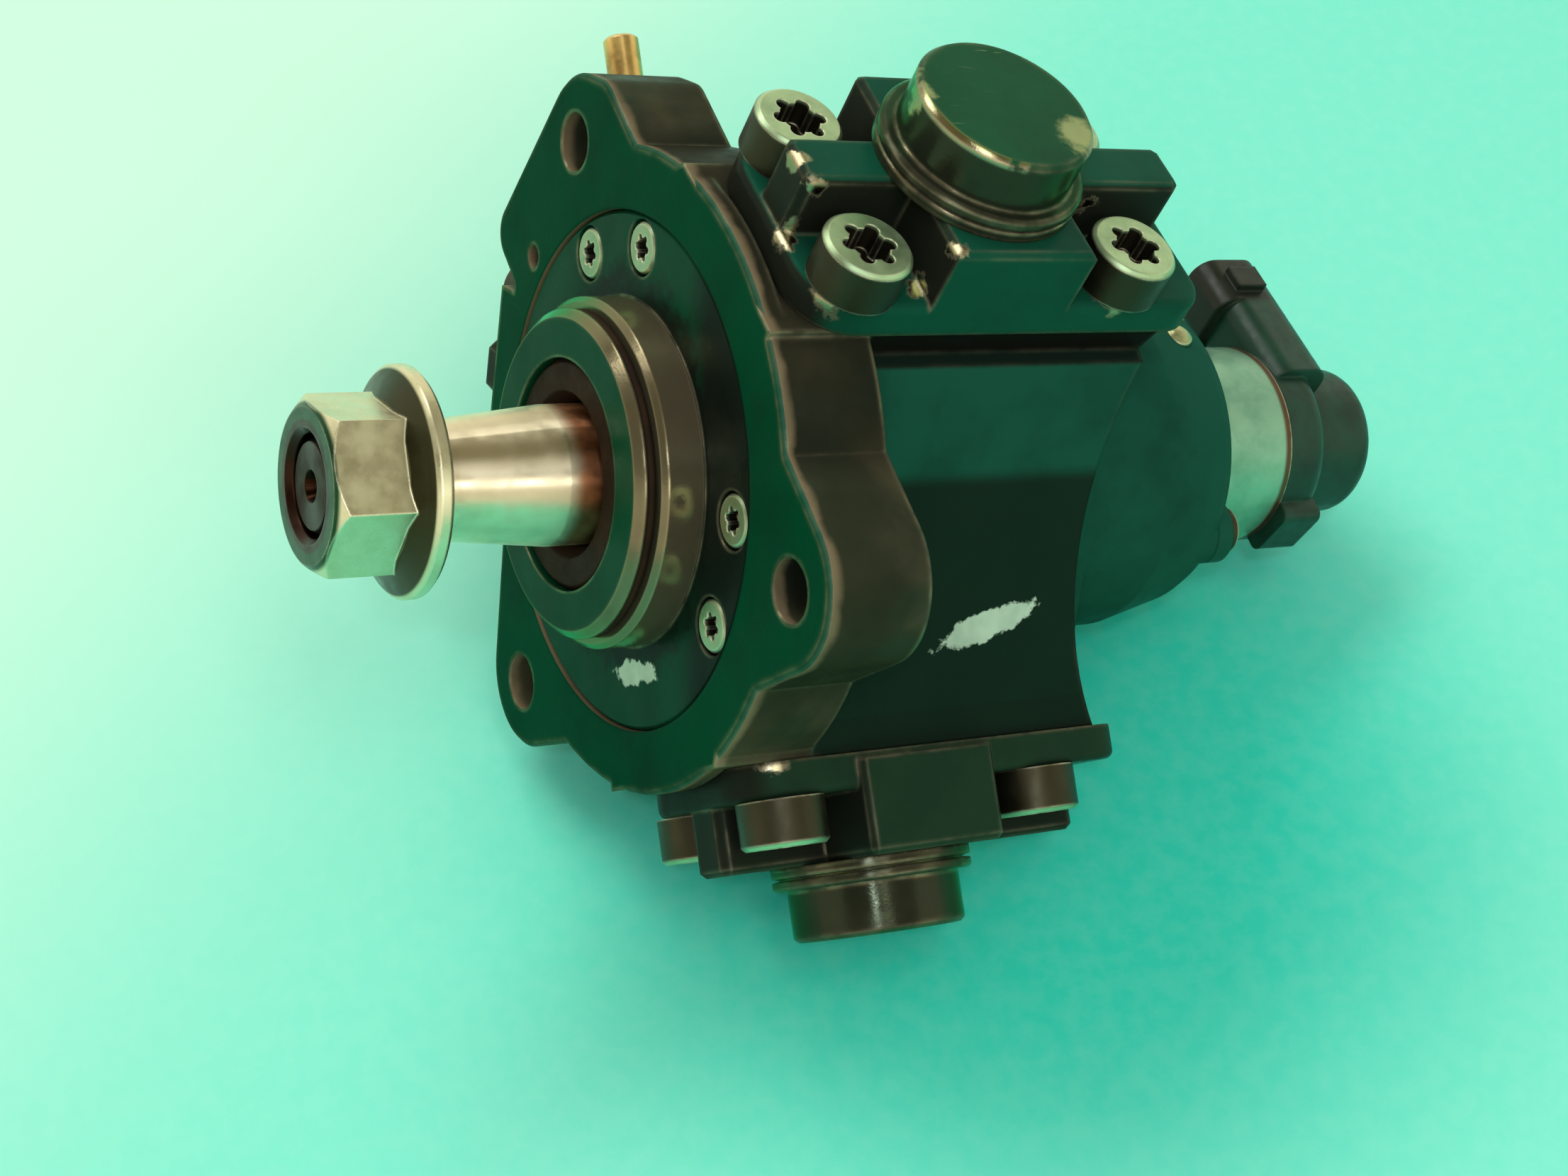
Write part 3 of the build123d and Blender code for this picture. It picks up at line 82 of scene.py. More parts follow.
# ---------------------------------------------------------------- colours (8-bit sRGB)
FLANGE_GREEN = (0, 64, 38)
BODY_GREEN = (26, 78, 60)
BODY_DARK = (18, 34, 26)
FLANK_SHADE = (24, 38, 28)
CAP_GREEN = (18, 74, 44)
CAP_SIDE = (54, 56, 42)
CAP_WEAR_AND_HIGHLIGHT = (146, 156, 100)
HEAD_GREEN = (18, 74, 54)
HEAD_LOW_TONE = (36, 50, 33)
HEAD_SHADE = (32, 34, 26)
RIM_OLIVE = (74, 70, 50)
RIM_EDGE_HIGHLIGHT = (128, 112, 84)
RIM_DARK = (48, 50, 35)
RIM_SHADE = (27, 26, 20)
LIP_GREY = (120, 111, 86)
PILOT_GREY = (146, 133, 103)
DISC_SHADE = (14, 20, 16)
DISC_GREEN = (4, 60, 37)
BARE_AND_HIGHLIGHT = (158, 148, 118)
SLOT_SHADE = (20, 19, 15)
SHAFT_STEEL = (240, 228, 196)
SHAFT_SHADE = (208, 196, 160)
BORE_SHADE = (44, 26, 16)
SHAFT_RUST = (160, 92, 46)
NUT_ZINC = (220, 216, 180)
NUT_SHADE = (178, 172, 130)
NUT_FRONT = (26, 70, 44)
NUT_CONE = (54, 54, 34)
METAL_EDGE_HIGHLIGHT = (240, 232, 200)
SCREW_PALE = (176, 204, 160)
SCREW_SHADE = (120, 146, 112)
SCREW_SIDE = (60, 57, 42)
SCREW_GREY = (150, 166, 134)
CAN_SATIN = (136, 182, 154)
CAN_SHADE = (100, 154, 128)
CAN_RIM = (92, 70, 48)
PLASTIC_GREEN = (24, 62, 44)
PLASTIC_DARK = (26, 32, 22)
BRASS = (220, 188, 116)
BRASS_SHADE = (150, 118, 66)
RUBBER_DARK = (26, 22, 18)
SEAL_BROWN = (50, 36, 24)
PLUG_PALE = (176, 176, 128)
FLOOR_PALE = (206, 252, 222)
FLOOR_MINT_DIM = (130, 238, 206)
FLOOR_SHADOW = (54, 218, 186)
MINT_AIR = (178, 246, 216)
HORIZON_GLOW = (255, 250, 226)
CEILING_BROWN = (134, 126, 100)
LAMP_WHITE = (255, 255, 252)
LAMP_COOL = (228, 236, 255)
PAINT_DAB = (206, 224, 196)

PAINT_SHEEN = (0.12, 1.0, 0.6)     # linear tint of what green paint reflects

# ---------------------------------------------------------------- places on the pump
HEAD_ANGLES = (0.0, -120.0, 120.0)
SCREW_TOP = 56.2 * MM       # top of the head screws, from the shaft axis
CAP_FACE = 70.0 * MM
CAP_RIM = 12.65 * MM
CAP_MIDDLE = Vector((32.3, 0.0, 70.0)) * MM     # middle of the upper cap's face
CAP_WORN_LIT_SIDE = Vector((-0.906, -0.423, 0.0))     # side on which its rim is worn bare and carries a painted highlight
NEAR_FACE = 35.8 * MM       # the near flank's flat face, from the shaft axis
FLANK_SHADE_LINE = 10.0 * MM       # below this line across the near flank a painted shade darkens it
SHADE_RADIUS = 45.0 * MM    # the rim under the upper head carries painted shade inside this radius
SHADE_LOW = 12.0 * MM       # and the painted shade deepens to near black between these two heights
SHADE_HIGH = 22.0 * MM
SLOT_LOW = 5.0 * MM         # the necks' painted shade turns from the flank's shade to near black between these two heights
SLOT_HIGH = 20.0 * MM
PLATE_TOP = 49.5 * MM
BLOCK_TOP = 59.0 * MM
WEB_HALF = 5.7 * MM
NECK_FOOT = 39.4 * MM       # the painted shade in the neck under each head starts here
FLANGE_REAR = 15.5 * MM
COVER_FRONT = 0.3 * MM
COVER_SEAM = 36.0 * MM
DISC_SHADE_START = 17.0 * MM     # toward the shaded side, painted shade darkens the cover's disc between these two
DISC_SHADE_FULL = 25.0 * MM
NOSE_SHADE = 26.0 * MM      # the disc carries painted shade all round inside this radius
PILOT_FRONT = -6.1 * MM
RUST_FRONT = -11.2 * MM
SHAFT_TIP = -36.4 * MM
NUT_FACE = -47.0 * MM
NUT_CONE_FRONT = -37.2 * MM
NUT_CONE_RADIUS = 15.8 * MM
NUT_BORE_EDGE = 8.8 * MM
NOSE_FACE_RADIUS = 22.2 * MM
VALVE_SCREW_TOP = 98.6 * MM
CAN_REAR = 112.5 * MM
TOWER_SIDE = 15.0 * MM      # the connector's tower starts here, toward +Y
# bare patches, worn and also painted where highlights and glints fall: middle and radius, in mm
CAP_WEAR_AND_STREAK = ((41.2, -6.0, 70.0, 4.6), (20.4, 2.6, 68.5, 2.8))
HEAD_WEAR_AND_GLINTS = (
    (5.2, 1.5, 58.6, 1.8),
    (6.4, -3.0, 57.6, 1.6),
    (5.6, -4.0, 50.0, 2.2),
    (7.2, -14.8, 48.6, 2.6),
    (9.6, -18.4, 49.2, 2.0),
    (21.4, -13.2, 49.6, 1.8),
    (22.2, -15.6, 58.2, 1.6),
    (51.6, -16.2, 49.6, 2.2),
    (51.0, -3.4, 55.4, 2.0),
    (8.6, -46.5, -8.0, 2.4),
)
NEAR_FLANK = Vector((0.0, -math.sin(math.radians(60)), math.cos(math.radians(60))))
FLANK_ACROSS = Vector((0.0, math.cos(math.radians(60)), math.sin(math.radians(60))))
SHADED_SIDE = Vector((0.0, -0.766, 0.643))   # the side on which the disc carries painted shade
# smears of marking paint: middle, direction along, direction across, half length, half width
FLANK_DAB = (
    NEAR_FLANK * 36 * MM + FLANK_ACROSS * -13 * MM + Vector((42 * MM, 0, 0)),
    (Vector((1, 0, 0)) + FLANK_ACROSS * 0.35).normalized(),
    (FLANK_ACROSS - Vector((0.35, 0, 0))).normalized(),
    9 * MM,
    2.6 * MM,
)
DISC_DAB = (
    Vector((0.3 * MM, -22.5 * MM, -18 * MM)),
    Vector((0, 0.62, -0.78)).normalized(),
    Vector((0, 0.78, 0.62)).normalized(),
    6.5 * MM,
    1.9 * MM,
)

# ---------------------------------------------------------------- camera and floor
CAMERA_PLACE = Vector((-0.16534, -0.21183, 0.24590))
CAMERA_RIGHT = Vector((0.85892, -0.36759, 0.35656))
CAMERA_UP = Vector((0.06411, 0.76796, 0.63728))
CAMERA_BACK = Vector((-0.50809, -0.52451, 0.68318))
CAMERA_LENS = 58.37
CAMERA_SENSOR = 36.0
TRUE_UP = Vector((-0.348, 0.092, 0.933)).normalized()    # the pump lies tilted on its ear and cap
FLOOR_RIGHT = CAMERA_RIGHT.normalized()
FLOOR_AWAY = TRUE_UP.cross(FLOOR_RIGHT).normalized()
FLOOR_SIZE = 4.0
FALLOFF_WAY = FLOOR_RIGHT * 0.8 - FLOOR_AWAY * 0.45        # over the floor, the way of the painted falloff of light from its pale to its mint side
FALLOFF_START = -150 * MM
FALLOFF_FULL = 10 * MM
SHADOW_PLACE = (62 * MM, -8 * MM)     # middle of the floor's painted shadow: to the right, away
SHADOW_EDGE = 105 * MM
SHADOW_FULL = 35 * MM

# ---------------------------------------------------------------- light
AMBIENT = 0.52
GLOSSY_SKY = 1.12
HORIZON_END = 0.48          # sine of the height at which the bright horizon starts to darken
CEILING_START = 0.62
# name, aim to the right, away and up over the floor, distance, length, width, power, colour
LAMPS = (
    ("key", -0.40, 0.50, 0.90, 1.8, 1.2, 0.5, 13.0, LAMP_WHITE),
    ("window", 0.35, -0.85, 0.65, 1.2, 1.2, 0.22, 3.0, LAMP_WHITE),
    ("top", 0.17, -0.42, 0.89, 1.2, 0.24, 0.45, 1.8, LAMP_WHITE),
    ("spark", -0.05, -0.60, 0.80, 0.9, 0.05, 0.05, 0.9, LAMP_COOL),
)


# ---------------------------------------------------------------- node helpers
def linear(colour):
    """Linear RGBA from an 8-bit sRGB colour."""
    out = []
    for v in colour:
        c = v / 255
        out.append(c / 12.92 if c <= 0.04045 else ((c + 0.055) / 1.055) ** 2.4)
    return (*out, 1.0)


class Graph:
    """Short names for building one node tree, of a material or of the world."""

    def __init__(self, owner, output):
        owner.use_nodes = True
        self.owner = owner
        self.tree = owner.node_tree
        self.tree.nodes.clear()
        self.output = self.add(output)
        self.coordinates = self.add("ShaderNodeTexCoord").outputs
        self.place = self.coordinates["Object"]

    def add(self, kind, **settings):
        node = self.tree.nodes.new(kind)
        for key, value in settings.items():
            setattr(node, key, value)
        return node

    def join(self, source, target):
        if hasattr(source, "is_output"):
            self.tree.links.new(source, target)
        else:
            target.default_value = source

    def noise(self, scale, detail=3.0, rough=0.55, stretch=(1, 1, 1), distort=0.0):
        """Noise over the object's own coordinates, scale in cycles per metre."""
        move = self.add("ShaderNodeMapping")
        move.inputs["Scale"].default_value = stretch
        self.join(self.place, move.inputs["Vector"])
        node = self.add("ShaderNodeTexNoise")
        self.join(move.outputs[0], node.inputs["Vector"])
        node.inputs["Scale"].default_value = scale
        node.inputs["Detail"].default_value = detail
        node.inputs["Roughness"].default_value = rough
        node.inputs["Distortion"].default_value = distort
        return node.outputs["Fac"]

    def span(self, value, low, high, to_low=0.0, to_high=1.0):
        """Smooth step of a value from one range to another."""
        node = self.add("ShaderNodeMapRange", interpolation_type="SMOOTHSTEP")
        self.join(value, node.inputs["Value"])
        node.inputs["From Min"].default_value = low
        node.inputs["From Max"].default_value = high
        node.inputs["To Min"].default_value = to_low
        node.inputs["To Max"].default_value = to_high
        return node.outputs["Result"]

    def maths(self, operation, a, b=0.0):
        node = self.add("ShaderNodeMath", operation=operation)
        self.join(a, node.inputs[0])
        self.join(b, node.inputs[1])
        return node.outputs[0]

    def mix(self, factor, a, b):
        """Mix of two colours; each is a socket or an 8-bit colour."""
        node = self.add("ShaderNodeMix", data_type="RGBA")
        self.join(factor, node.inputs["Factor"])
        self.join(linear(a) if isinstance(a, tuple) else a, node.inputs["A"])
        self.join(linear(b) if isinstance(b, tuple) else b, node.inputs["B"])
        return node.outputs["Result"]

    def axes(self, vector=None):
        """X, Y and Z of a vector, which is the object's own position when none is given."""
        node = self.add("ShaderNodeSeparateXYZ")
        self.join(self.place if vector is None else vector, node.inputs[0])
        return node.outputs

    def vectors(self, operation, a, b):
        node = self.add("ShaderNodeVectorMath", operation=operation)
        self.join(a, node.inputs[0])
        self.join(b, node.inputs[1])
        return node.outputs

    def dot(self, vector, direction):
        return self.vectors("DOT_PRODUCT", vector, direction)["Value"]

    def offset(self, middle):
        """Vector from a fixed point to the object's own position."""
        return self.vectors("SUBTRACT", self.place, middle)[0]

    def both(self, a, b):
        return self.maths("MULTIPLY", a, b)

    def length(self, u, v):
        """Length of a step made of two parts at right angles."""
        return self.maths("SQRT", self.maths("ADD", self.both(u, u), self.both(v, v)))

    def ragged(self, value, reach, *grain):
        """The value moved to and fro by up to reach, so that a border drawn at it is uneven."""
        return self.maths("ADD", value, self.span(self.noise(*grain), 0.3, 0.7, -reach, reach))

    def height(self):
        """Distance from the shaft axis along the nearest cylinder."""
        reach = [
            self.dot(self.place, (0, math.sin(math.radians(a)), math.cos(math.radians(a))))
            for a in HEAD_ANGLES
        ]
        return self.maths("MAXIMUM", self.maths("MAXIMUM", reach[0], reach[1]), reach[2])

    def across(self):
        """Sideways distance from the nearest cylinder's own plane."""
        radius = self.radius()
        height = self.height()
        square = self.maths("SUBTRACT", self.both(radius, radius), self.both(height, height))
        return self.maths("SQRT", self.maths("MAXIMUM", square, 0.0))

    def radius(self):
        """Distance from the shaft axis."""
        y, z = self.axes()[1:]
        return self.length(y, z)

    def lengthwise(self):
        """1 where the surface faces along the shaft, 0 where it faces square to it."""
        return self.maths("ABSOLUTE", self.axes(self.coordinates["Normal"])[0])

    def dab(self, middle, along, across, half_length, half_width):
        """Up to 0.9 inside one ragged smear of paint, given by its middle and two directions."""
        offset = self.offset(middle)
        u = self.maths("DIVIDE", self.dot(offset, along), half_length)
        v = self.maths("DIVIDE", self.dot(offset, across), half_width)
        uneven = self.span(self.noise(330, 4, 0.65), 0.25, 0.75, -0.3, 0.3)
        reach = self.maths("ADD", self.length(u, v), uneven)
        off_face = self.maths("ABSOLUTE", self.dot(offset, along.cross(across)))
        return self.both(self.span(reach, 1.0, 0.8, 0.0, 0.9), self.span(off_face, 0.4 * MM, 0.1 * MM))

    def spots(self, places):
        """1 inside ragged patches, each given in mm by its middle and its radius."""
        ragged = self.span(self.noise(300, 4, 0.65), 0.3, 0.7, -1.0 * MM, 1.0 * MM)
        inside = 0.0
        for x, y, z, radius in places:
            apart = self.vectors("DISTANCE", self.place, Vector((x, y, z)) * MM)["Value"]
            reach = self.maths("ADD", apart, ragged)
            inside = self.maths("MAXIMUM", inside, self.span(reach, radius * MM, radius * 0.45 * MM))
        return inside

    def edges(self, radius):
        """1 near sharp edges, 0 on open faces."""
        true_normal = self.add("ShaderNodeNewGeometry").outputs["Normal"]
        return self.span(self.dot(self.round_normal(radius, 4), true_normal), 0.98, 0.82)

    def bump(self, height, distance, strength, normal):
        node = self.add("ShaderNodeBump")
        node.inputs["Strength"].default_value = strength
        node.inputs["Distance"].default_value = distance
        self.join(height, node.inputs["Height"])
        self.join(normal, node.inputs["Normal"])
        return node.outputs[0]

    def round_normal(self, radius, samples=6):
        """Shading normal with the edges rounded off."""
        soft = self.add("ShaderNodeBevel", samples=samples)
        soft.inputs["Radius"].default_value = radius
        return soft.outputs[0]

    def finish(self, colour, roughness, normal, metallic=0.0, ior=1.5, tint=(1, 1, 1), brushed=0.0):
        shader = self.add("ShaderNodeBsdfPrincipled")
        shader.inputs["Specular Tint"].default_value = (*tint, 1.0)
        shader.inputs["IOR"].default_value = ior
        if brushed:
            around = self.add("ShaderNodeTangent", direction_type="RADIAL", axis="X")
            self.join(around.outputs[0], shader.inputs["Tangent"])
            shader.inputs["Anisotropic"].default_value = brushed
            shader.inputs["Anisotropic Rotation"].default_value = 0.25
        self.join(colour, shader.inputs["Base Color"])
        self.join(roughness, shader.inputs["Roughness"])
        self.join(metallic, shader.inputs["Metallic"])
        self.join(normal, shader.inputs["Normal"])
        self.join(shader.outputs[0], self.output.inputs["Surface"])
        return self.owner


def material_graph(name):
    return Graph(bpy.data.materials.new(name), "ShaderNodeOutputMaterial")


# ---------------------------------------------------------------- paints
def painted(name, layers, rough=0.32, rounding=0.9 * MM, ior=1.12, edge_reach=1.0 * MM, worn_highlight_most=0.6):
    """Thin paint over cast or turned steel: patchy, fine-grained, worn through at its edges, which also
    carry a painted highlight.

    layers(graph) gives the colour, the share of bare metal and the share of the edges' wear and painted
    highlight.
    """
    g = material_graph(name)
    colour, bare, wear_highlight_share = layers(g)
    colour = g.mix(g.span(g.noise(60, 4, 0.6), 0.4, 0.75, 0.0, 0.4), colour, BODY_DARK)
    # real wear and painted highlight along the edges, in pale bare metal
    worn_and_highlit = g.both(g.edges(edge_reach), g.span(g.noise(200, 3), 0.35, 0.65, 0.15, worn_highlight_most))
    worn_and_highlit = g.both(worn_and_highlit, wear_highlight_share)
    colour = g.mix(worn_and_highlit, colour, BARE_AND_HIGHLIGHT)
    bare = g.maths("MAXIMUM", worn_and_highlit, bare)
    roughness = g.span(g.noise(130, 3), 0.3, 0.7, rough - 0.06, rough + 0.12)
    roughness = g.both(roughness, g.span(bare, 0.0, 1.0, 1.0, 0.6))
    grain = g.bump(g.noise(2600, 2, 0.6), 0.03 * MM, 0.4, g.round_normal(rounding))
    waves = g.bump(g.noise(150, 2, 0.5), 0.25 * MM, 0.35, grain)
    return g.finish(colour, roughness, waves, bare, ior, PAINT_SHEEN)


def housing_layers(g):
    """Green front face; olive-brown rim with worn, highlit edges, a painted highlight along its front
    edge and painted shade under the upper head; painted shade on the near flank's lower part and in the
    necks under the heads.
    """
    axes = g.axes()
    x, z = axes[0], axes[2]
    colour = g.mix(g.span(x, 0.4 * MM, 0.1 * MM), BODY_GREEN, FLANGE_GREEN)
    on_flange = g.span(x, FLANGE_REAR + 0.5 * MM, FLANGE_REAR - 0.5 * MM)
    # olive-brown on the flange's faces that point sideways, patchy
    rim = g.both(g.span(g.lengthwise(), 0.7, 0.3), on_flange)
    rim_tone = g.mix(g.span(g.noise(48, 4, 0.55), 0.35, 0.62), RIM_OLIVE, RIM_DARK)
    colour = g.mix(g.both(rim, g.span(g.noise(70, 2), 0.25, 0.5, 0.8, 1.0)), colour, rim_tone)
    # painted shade on the rim under the upper head
    inside = g.span(g.radius(), SHADE_RADIUS + 5 * MM, SHADE_RADIUS)
    under_head_shade = g.both(inside, g.span(z, SHADE_LOW, SHADE_HIGH, 0.0, 0.8))
    colour = g.mix(g.both(rim, under_head_shade), colour, RIM_SHADE)
    # painted highlight in a ragged band along the flange's front edge
    front_edge_highlight = g.span(g.ragged(x, 0.4 * MM, 160, 3, 0.5), 2.2 * MM, 0.7 * MM, 0.0, 0.75)
    colour = g.mix(g.both(rim, front_edge_highlight), colour, RIM_EDGE_HIGHLIGHT)
    # painted shade on the near flank below a line across it
    behind = g.span(x, FLANGE_REAR, FLANGE_REAR + 0.5 * MM)
    near = g.span(g.dot(g.place, NEAR_FLANK), NEAR_FACE - 0.8 * MM, NEAR_FACE)
    low = g.both(g.span(g.dot(g.place, FLANK_ACROSS), FLANK_SHADE_LINE + 1 * MM, FLANK_SHADE_LINE - 2 * MM), near)
    colour = g.mix(g.both(low, g.both(behind, 0.95)), colour, FLANK_SHADE)
    # painted shade in the necks under the heads, from the flank's shade to near black
    neck_shade = g.both(behind, g.span(g.height(), NECK_FOOT, NECK_FOOT + 0.8 * MM))
    slot = g.mix(g.span(z, SLOT_LOW, SLOT_HIGH), FLANK_SHADE, SLOT_SHADE)
    colour = g.mix(g.dab(*FLANK_DAB), g.mix(neck_shade, colour, slot), PAINT_DAB)
    wear_highlight_share = g.span(x, FLANGE_REAR, FLANGE_REAR + 2 * MM, 1.0, 0.12)
    off_seam = g.span(g.radius(), COVER_SEAM + 2 * MM, COVER_SEAM + 3 * MM)
    return colour, 0.0, g.both(wear_highlight_share, off_seam)


def cover_layers(g):
    """Green disc with painted shade on one side and round the nose, with a turned grey side and a smear
    of paint.
    """
    x = g.axes()[0]
    outside = g.span(g.radius(), NOSE_FACE_RADIUS - 0.2 * MM, NOSE_FACE_RADIUS)
    side = g.both(outside, g.span(x, 0.1 * MM, -0.2 * MM))
    disc = g.span(x, -1 * MM, 0 * MM)
    # painted shade on the disc toward one side and round the nose
    side_shade = g.both(disc, g.span(g.dot(g.place, SHADED_SIDE), DISC_SHADE_START, DISC_SHADE_FULL))
    face = g.mix(g.span(x, -1 * MM, -2 * MM), DISC_GREEN, FLANGE_GREEN)
    round_nose_shade = g.span(g.ragged(g.radius(), 1.5 * MM, 260), NOSE_SHADE + 5 * MM, NOSE_SHADE)
    shaded_disc = g.maths("MAXIMUM", side_shade, g.both(round_nose_shade, disc))
    face = g.mix(g.dab(*DISC_DAB), g.mix(shaded_disc, face, DISC_SHADE), PAINT_DAB)
    turned = g.mix(g.span(x, PILOT_FRONT + 0.9 * MM, PILOT_FRONT + 0.6 * MM), PILOT_GREY, LIP_GREY)
    wear_highlight_share = g.span(g.radius(), COVER_SEAM, COVER_SEAM - 1 * MM)
    return g.mix(side, face, turned), g.both(side, 0.8), wear_highlight_share


def head_layers(g):
    """Green heads, browner on the two lower ones, painted shade between the blocks and on faces along the
    shaft, bare at corners with wear and painted glints.
    """
    height = g.height()
    # the heads turn darker and browner towards the bottom
    green = g.mix(g.span(g.axes()[2], 10 * MM, 0 * MM, 0.0, 0.85), HEAD_GREEN, HEAD_LOW_TONE)
    above = g.span(height, PLATE_TOP, PLATE_TOP + 0.5 * MM)
    above = g.both(above, g.span(height, BLOCK_TOP - 0.2 * MM, BLOCK_TOP - 0.6 * MM))
    # painted shade on the webs between the blocks and on faces that face along the shaft
    web_shade = g.both(above, g.span(g.across(), WEB_HALF, WEB_HALF - 0.3 * MM))
    side = g.maths("MAXIMUM", g.span(g.lengthwise(), 0.4, 0.8), web_shade)
    # bare patches of wear, also standing for painted glints and highlights
    wear_and_glints = g.spots(HEAD_WEAR_AND_GLINTS)
    return g.mix(wear_and_glints, g.mix(side, green, HEAD_SHADE), BARE_AND_HIGHLIGHT), wear_and_glints, 1.0


def cap_layers(g):
    """Green face and dark side, scratched and worn bare in places, with a painted highlight on the worn
    rim and a painted highlight streak on the side.
    """
    height = g.height()
    colour = g.mix(g.span(height, CAP_FACE - 0.7 * MM, CAP_FACE - 0.2 * MM), CAP_SIDE, CAP_GREEN)
    wear_and_highlight = g.spots(CAP_WEAR_AND_STREAK)
    scratches = g.both(
        g.span(g.noise(140, 2, 0.5, (1, 9, 1), 0.6), 0.66, 0.72),
        g.span(g.noise(90, 2), 0.5, 0.62, 0.0, 0.55),
    )
    face = g.span(height, CAP_FACE - 0.3 * MM, CAP_FACE - 0.1 * MM)
    offset = g.offset(CAP_MIDDLE)
    u, v, above = g.axes(offset)
    # wear and painted highlight along the rim on one side
    toward = g.ragged(g.dot(offset, CAP_WORN_LIT_SIDE), 2.5 * MM, 260, 3, 0.6)
    rim = g.span(g.length(u, v), CAP_RIM - 1.0 * MM, CAP_RIM - 0.5 * MM)
    rim = g.both(rim, g.span(toward, 7 * MM, 10 * MM))
    rim = g.both(rim, g.span(above, -1.5 * MM, -0.9 * MM))
    wear_and_highlight = g.maths("MAXIMUM", wear_and_highlight, rim)
    bare = g.mix(face, BARE_AND_HIGHLIGHT, CAP_WEAR_AND_HIGHLIGHT)
    colour = g.mix(g.maths("MAXIMUM", wear_and_highlight, g.both(face, scratches)), colour, bare)
    side = g.span(height, CAP_FACE - 0.4 * MM, CAP_FACE - 0.8 * MM)
    return colour, g.maths("MAXIMUM", rim, g.both(side, g.span(wear_and_highlight, 0.0, 1.0, 0.6, 0.95))), 1.0


# ---------------------------------------------------------------- metals, plastic and rubber
def metal(
    name, layers, rough, grain_stretch=(1, 1, 1), grain_scale=900, metallic=0.9, relief=0.25, brushed=0.0,
):
    """Bare or plated metal with fine lines, softened edges and a painted highlight along them.

    layers(graph) gives the colour and the share of the painted edge highlight.
    """
    g = material_graph(name)
    colour, edge_share = layers(g)
    # painted highlight along the edges
    edge_highlight = g.both(g.edges(0.5 * MM), g.span(g.noise(400, 2), 0.3, 0.6, 0.3, 0.9))
    colour = g.mix(g.both(edge_highlight, edge_share), colour, METAL_EDGE_HIGHLIGHT)
    roughness = g.span(g.noise(300, 3), 0.3, 0.7, rough - 0.05, rough + 0.1)
    lines = g.noise(grain_scale, 2, 0.6, grain_stretch)
    normal = g.bump(lines, 0.02 * MM, relief, g.round_normal(0.4 * MM))
    return g.finish(colour, roughness, normal, metallic=metallic, brushed=brushed)


def blotchy(main, shade, amount=0.6):
    """Layers for a metal with no marks of its own."""
    def layers(g):
        return g.mix(g.span(g.noise(160, 4, 0.6), 0.35, 0.75, 0.0, amount), main, shade), 1.0
    return layers


def screw_layers(g):
    pale = blotchy(SCREW_PALE, SCREW_SHADE)(g)[0]
    top = g.span(g.height(), SCREW_TOP - 0.7 * MM, SCREW_TOP - 0.3 * MM)
    return g.mix(top, SCREW_SIDE, pale), 1.0


def small_screw_layers(g):
    pale = blotchy(SCREW_GREY, SCREW_SHADE, 0.9)(g)[0]
    x = g.axes()[0]
    front = g.span(x, COVER_FRONT + 0.7 * MM, COVER_FRONT + 0.4 * MM)
    rear = g.span(x, VALVE_SCREW_TOP - 0.7 * MM, VALVE_SCREW_TOP - 0.4 * MM)
    return g.mix(g.maths("MAXIMUM", front, rear), SCREW_SIDE, pale), 1.0


def shaft_layers(g):
    steel = blotchy(SHAFT_STEEL, SHAFT_SHADE, 0.5)(g)[0]
    x = g.axes()[0]
    reach = g.ragged(x, 0.3 * MM, 300, 2)
    rusty = g.span(reach, RUST_FRONT - 1.4 * MM, RUST_FRONT + 1.4 * MM, 0.0, 0.9)
    # painted shade on the shaft's tip inside the nut
    tip_shade = g.span(x, SHAFT_TIP, SHAFT_TIP - 1 * MM)
    return g.mix(tip_shade, g.mix(rusty, steel, SHAFT_RUST), BORE_SHADE), g.maths("SUBTRACT", 1.0, tip_shade)


def nut_layers(g):
    zinc = blotchy(NUT_ZINC, NUT_SHADE, 0.5)(g)[0]
    x = g.axes()[0]
    front = g.span(x, NUT_FACE + 0.8 * MM, NUT_FACE + 0.3 * MM)
    cone = g.both(g.span(x, NUT_CONE_FRONT, NUT_CONE_FRONT + 0.7 * MM), g.span(g.lengthwise(), 0.1, 0.3))
    cone = g.both(cone, g.span(g.radius(), NUT_CONE_RADIUS, NUT_CONE_RADIUS - 0.5 * MM))
    # painted shade inside the nut's bore
    bore_shade = g.span(g.radius(), NUT_BORE_EDGE + 0.4 * MM, NUT_BORE_EDGE)
    colour = g.mix(bore_shade, g.mix(cone, g.mix(front, zinc, NUT_FRONT), NUT_CONE), BORE_SHADE)
    return colour, g.maths("SUBTRACT", 1.0, bore_shade)


def can_layers(g):
    satin = blotchy(CAN_SATIN, CAN_SHADE, 0.8)(g)[0]
    return g.mix(g.span(g.axes()[0], CAN_REAR - 1.6 * MM, CAN_REAR - 0.8 * MM), satin, CAN_RIM), 1.0


def moulded(name, main, shade, rough, ior, dark_beyond=None):
    """Moulded plastic or rubber, darker beyond a distance toward +Y where one is given."""
    g = material_graph(name)
    colour = g.mix(g.span(g.noise(180, 3), 0.3, 0.75, 0.0, 0.6), main, shade)
    if dark_beyond is not None:
        colour = g.mix(g.span(g.axes()[1], dark_beyond, dark_beyond + 2 * MM), colour, PLASTIC_DARK)
    roughness = g.span(g.noise(500, 3), 0.3, 0.7, rough - 0.06, rough + 0.08)
    normal = g.bump(g.noise(1800, 2), 0.03 * MM, 0.3, g.round_normal(0.6 * MM))
    return g.finish(colour, roughness, normal, ior=ior)


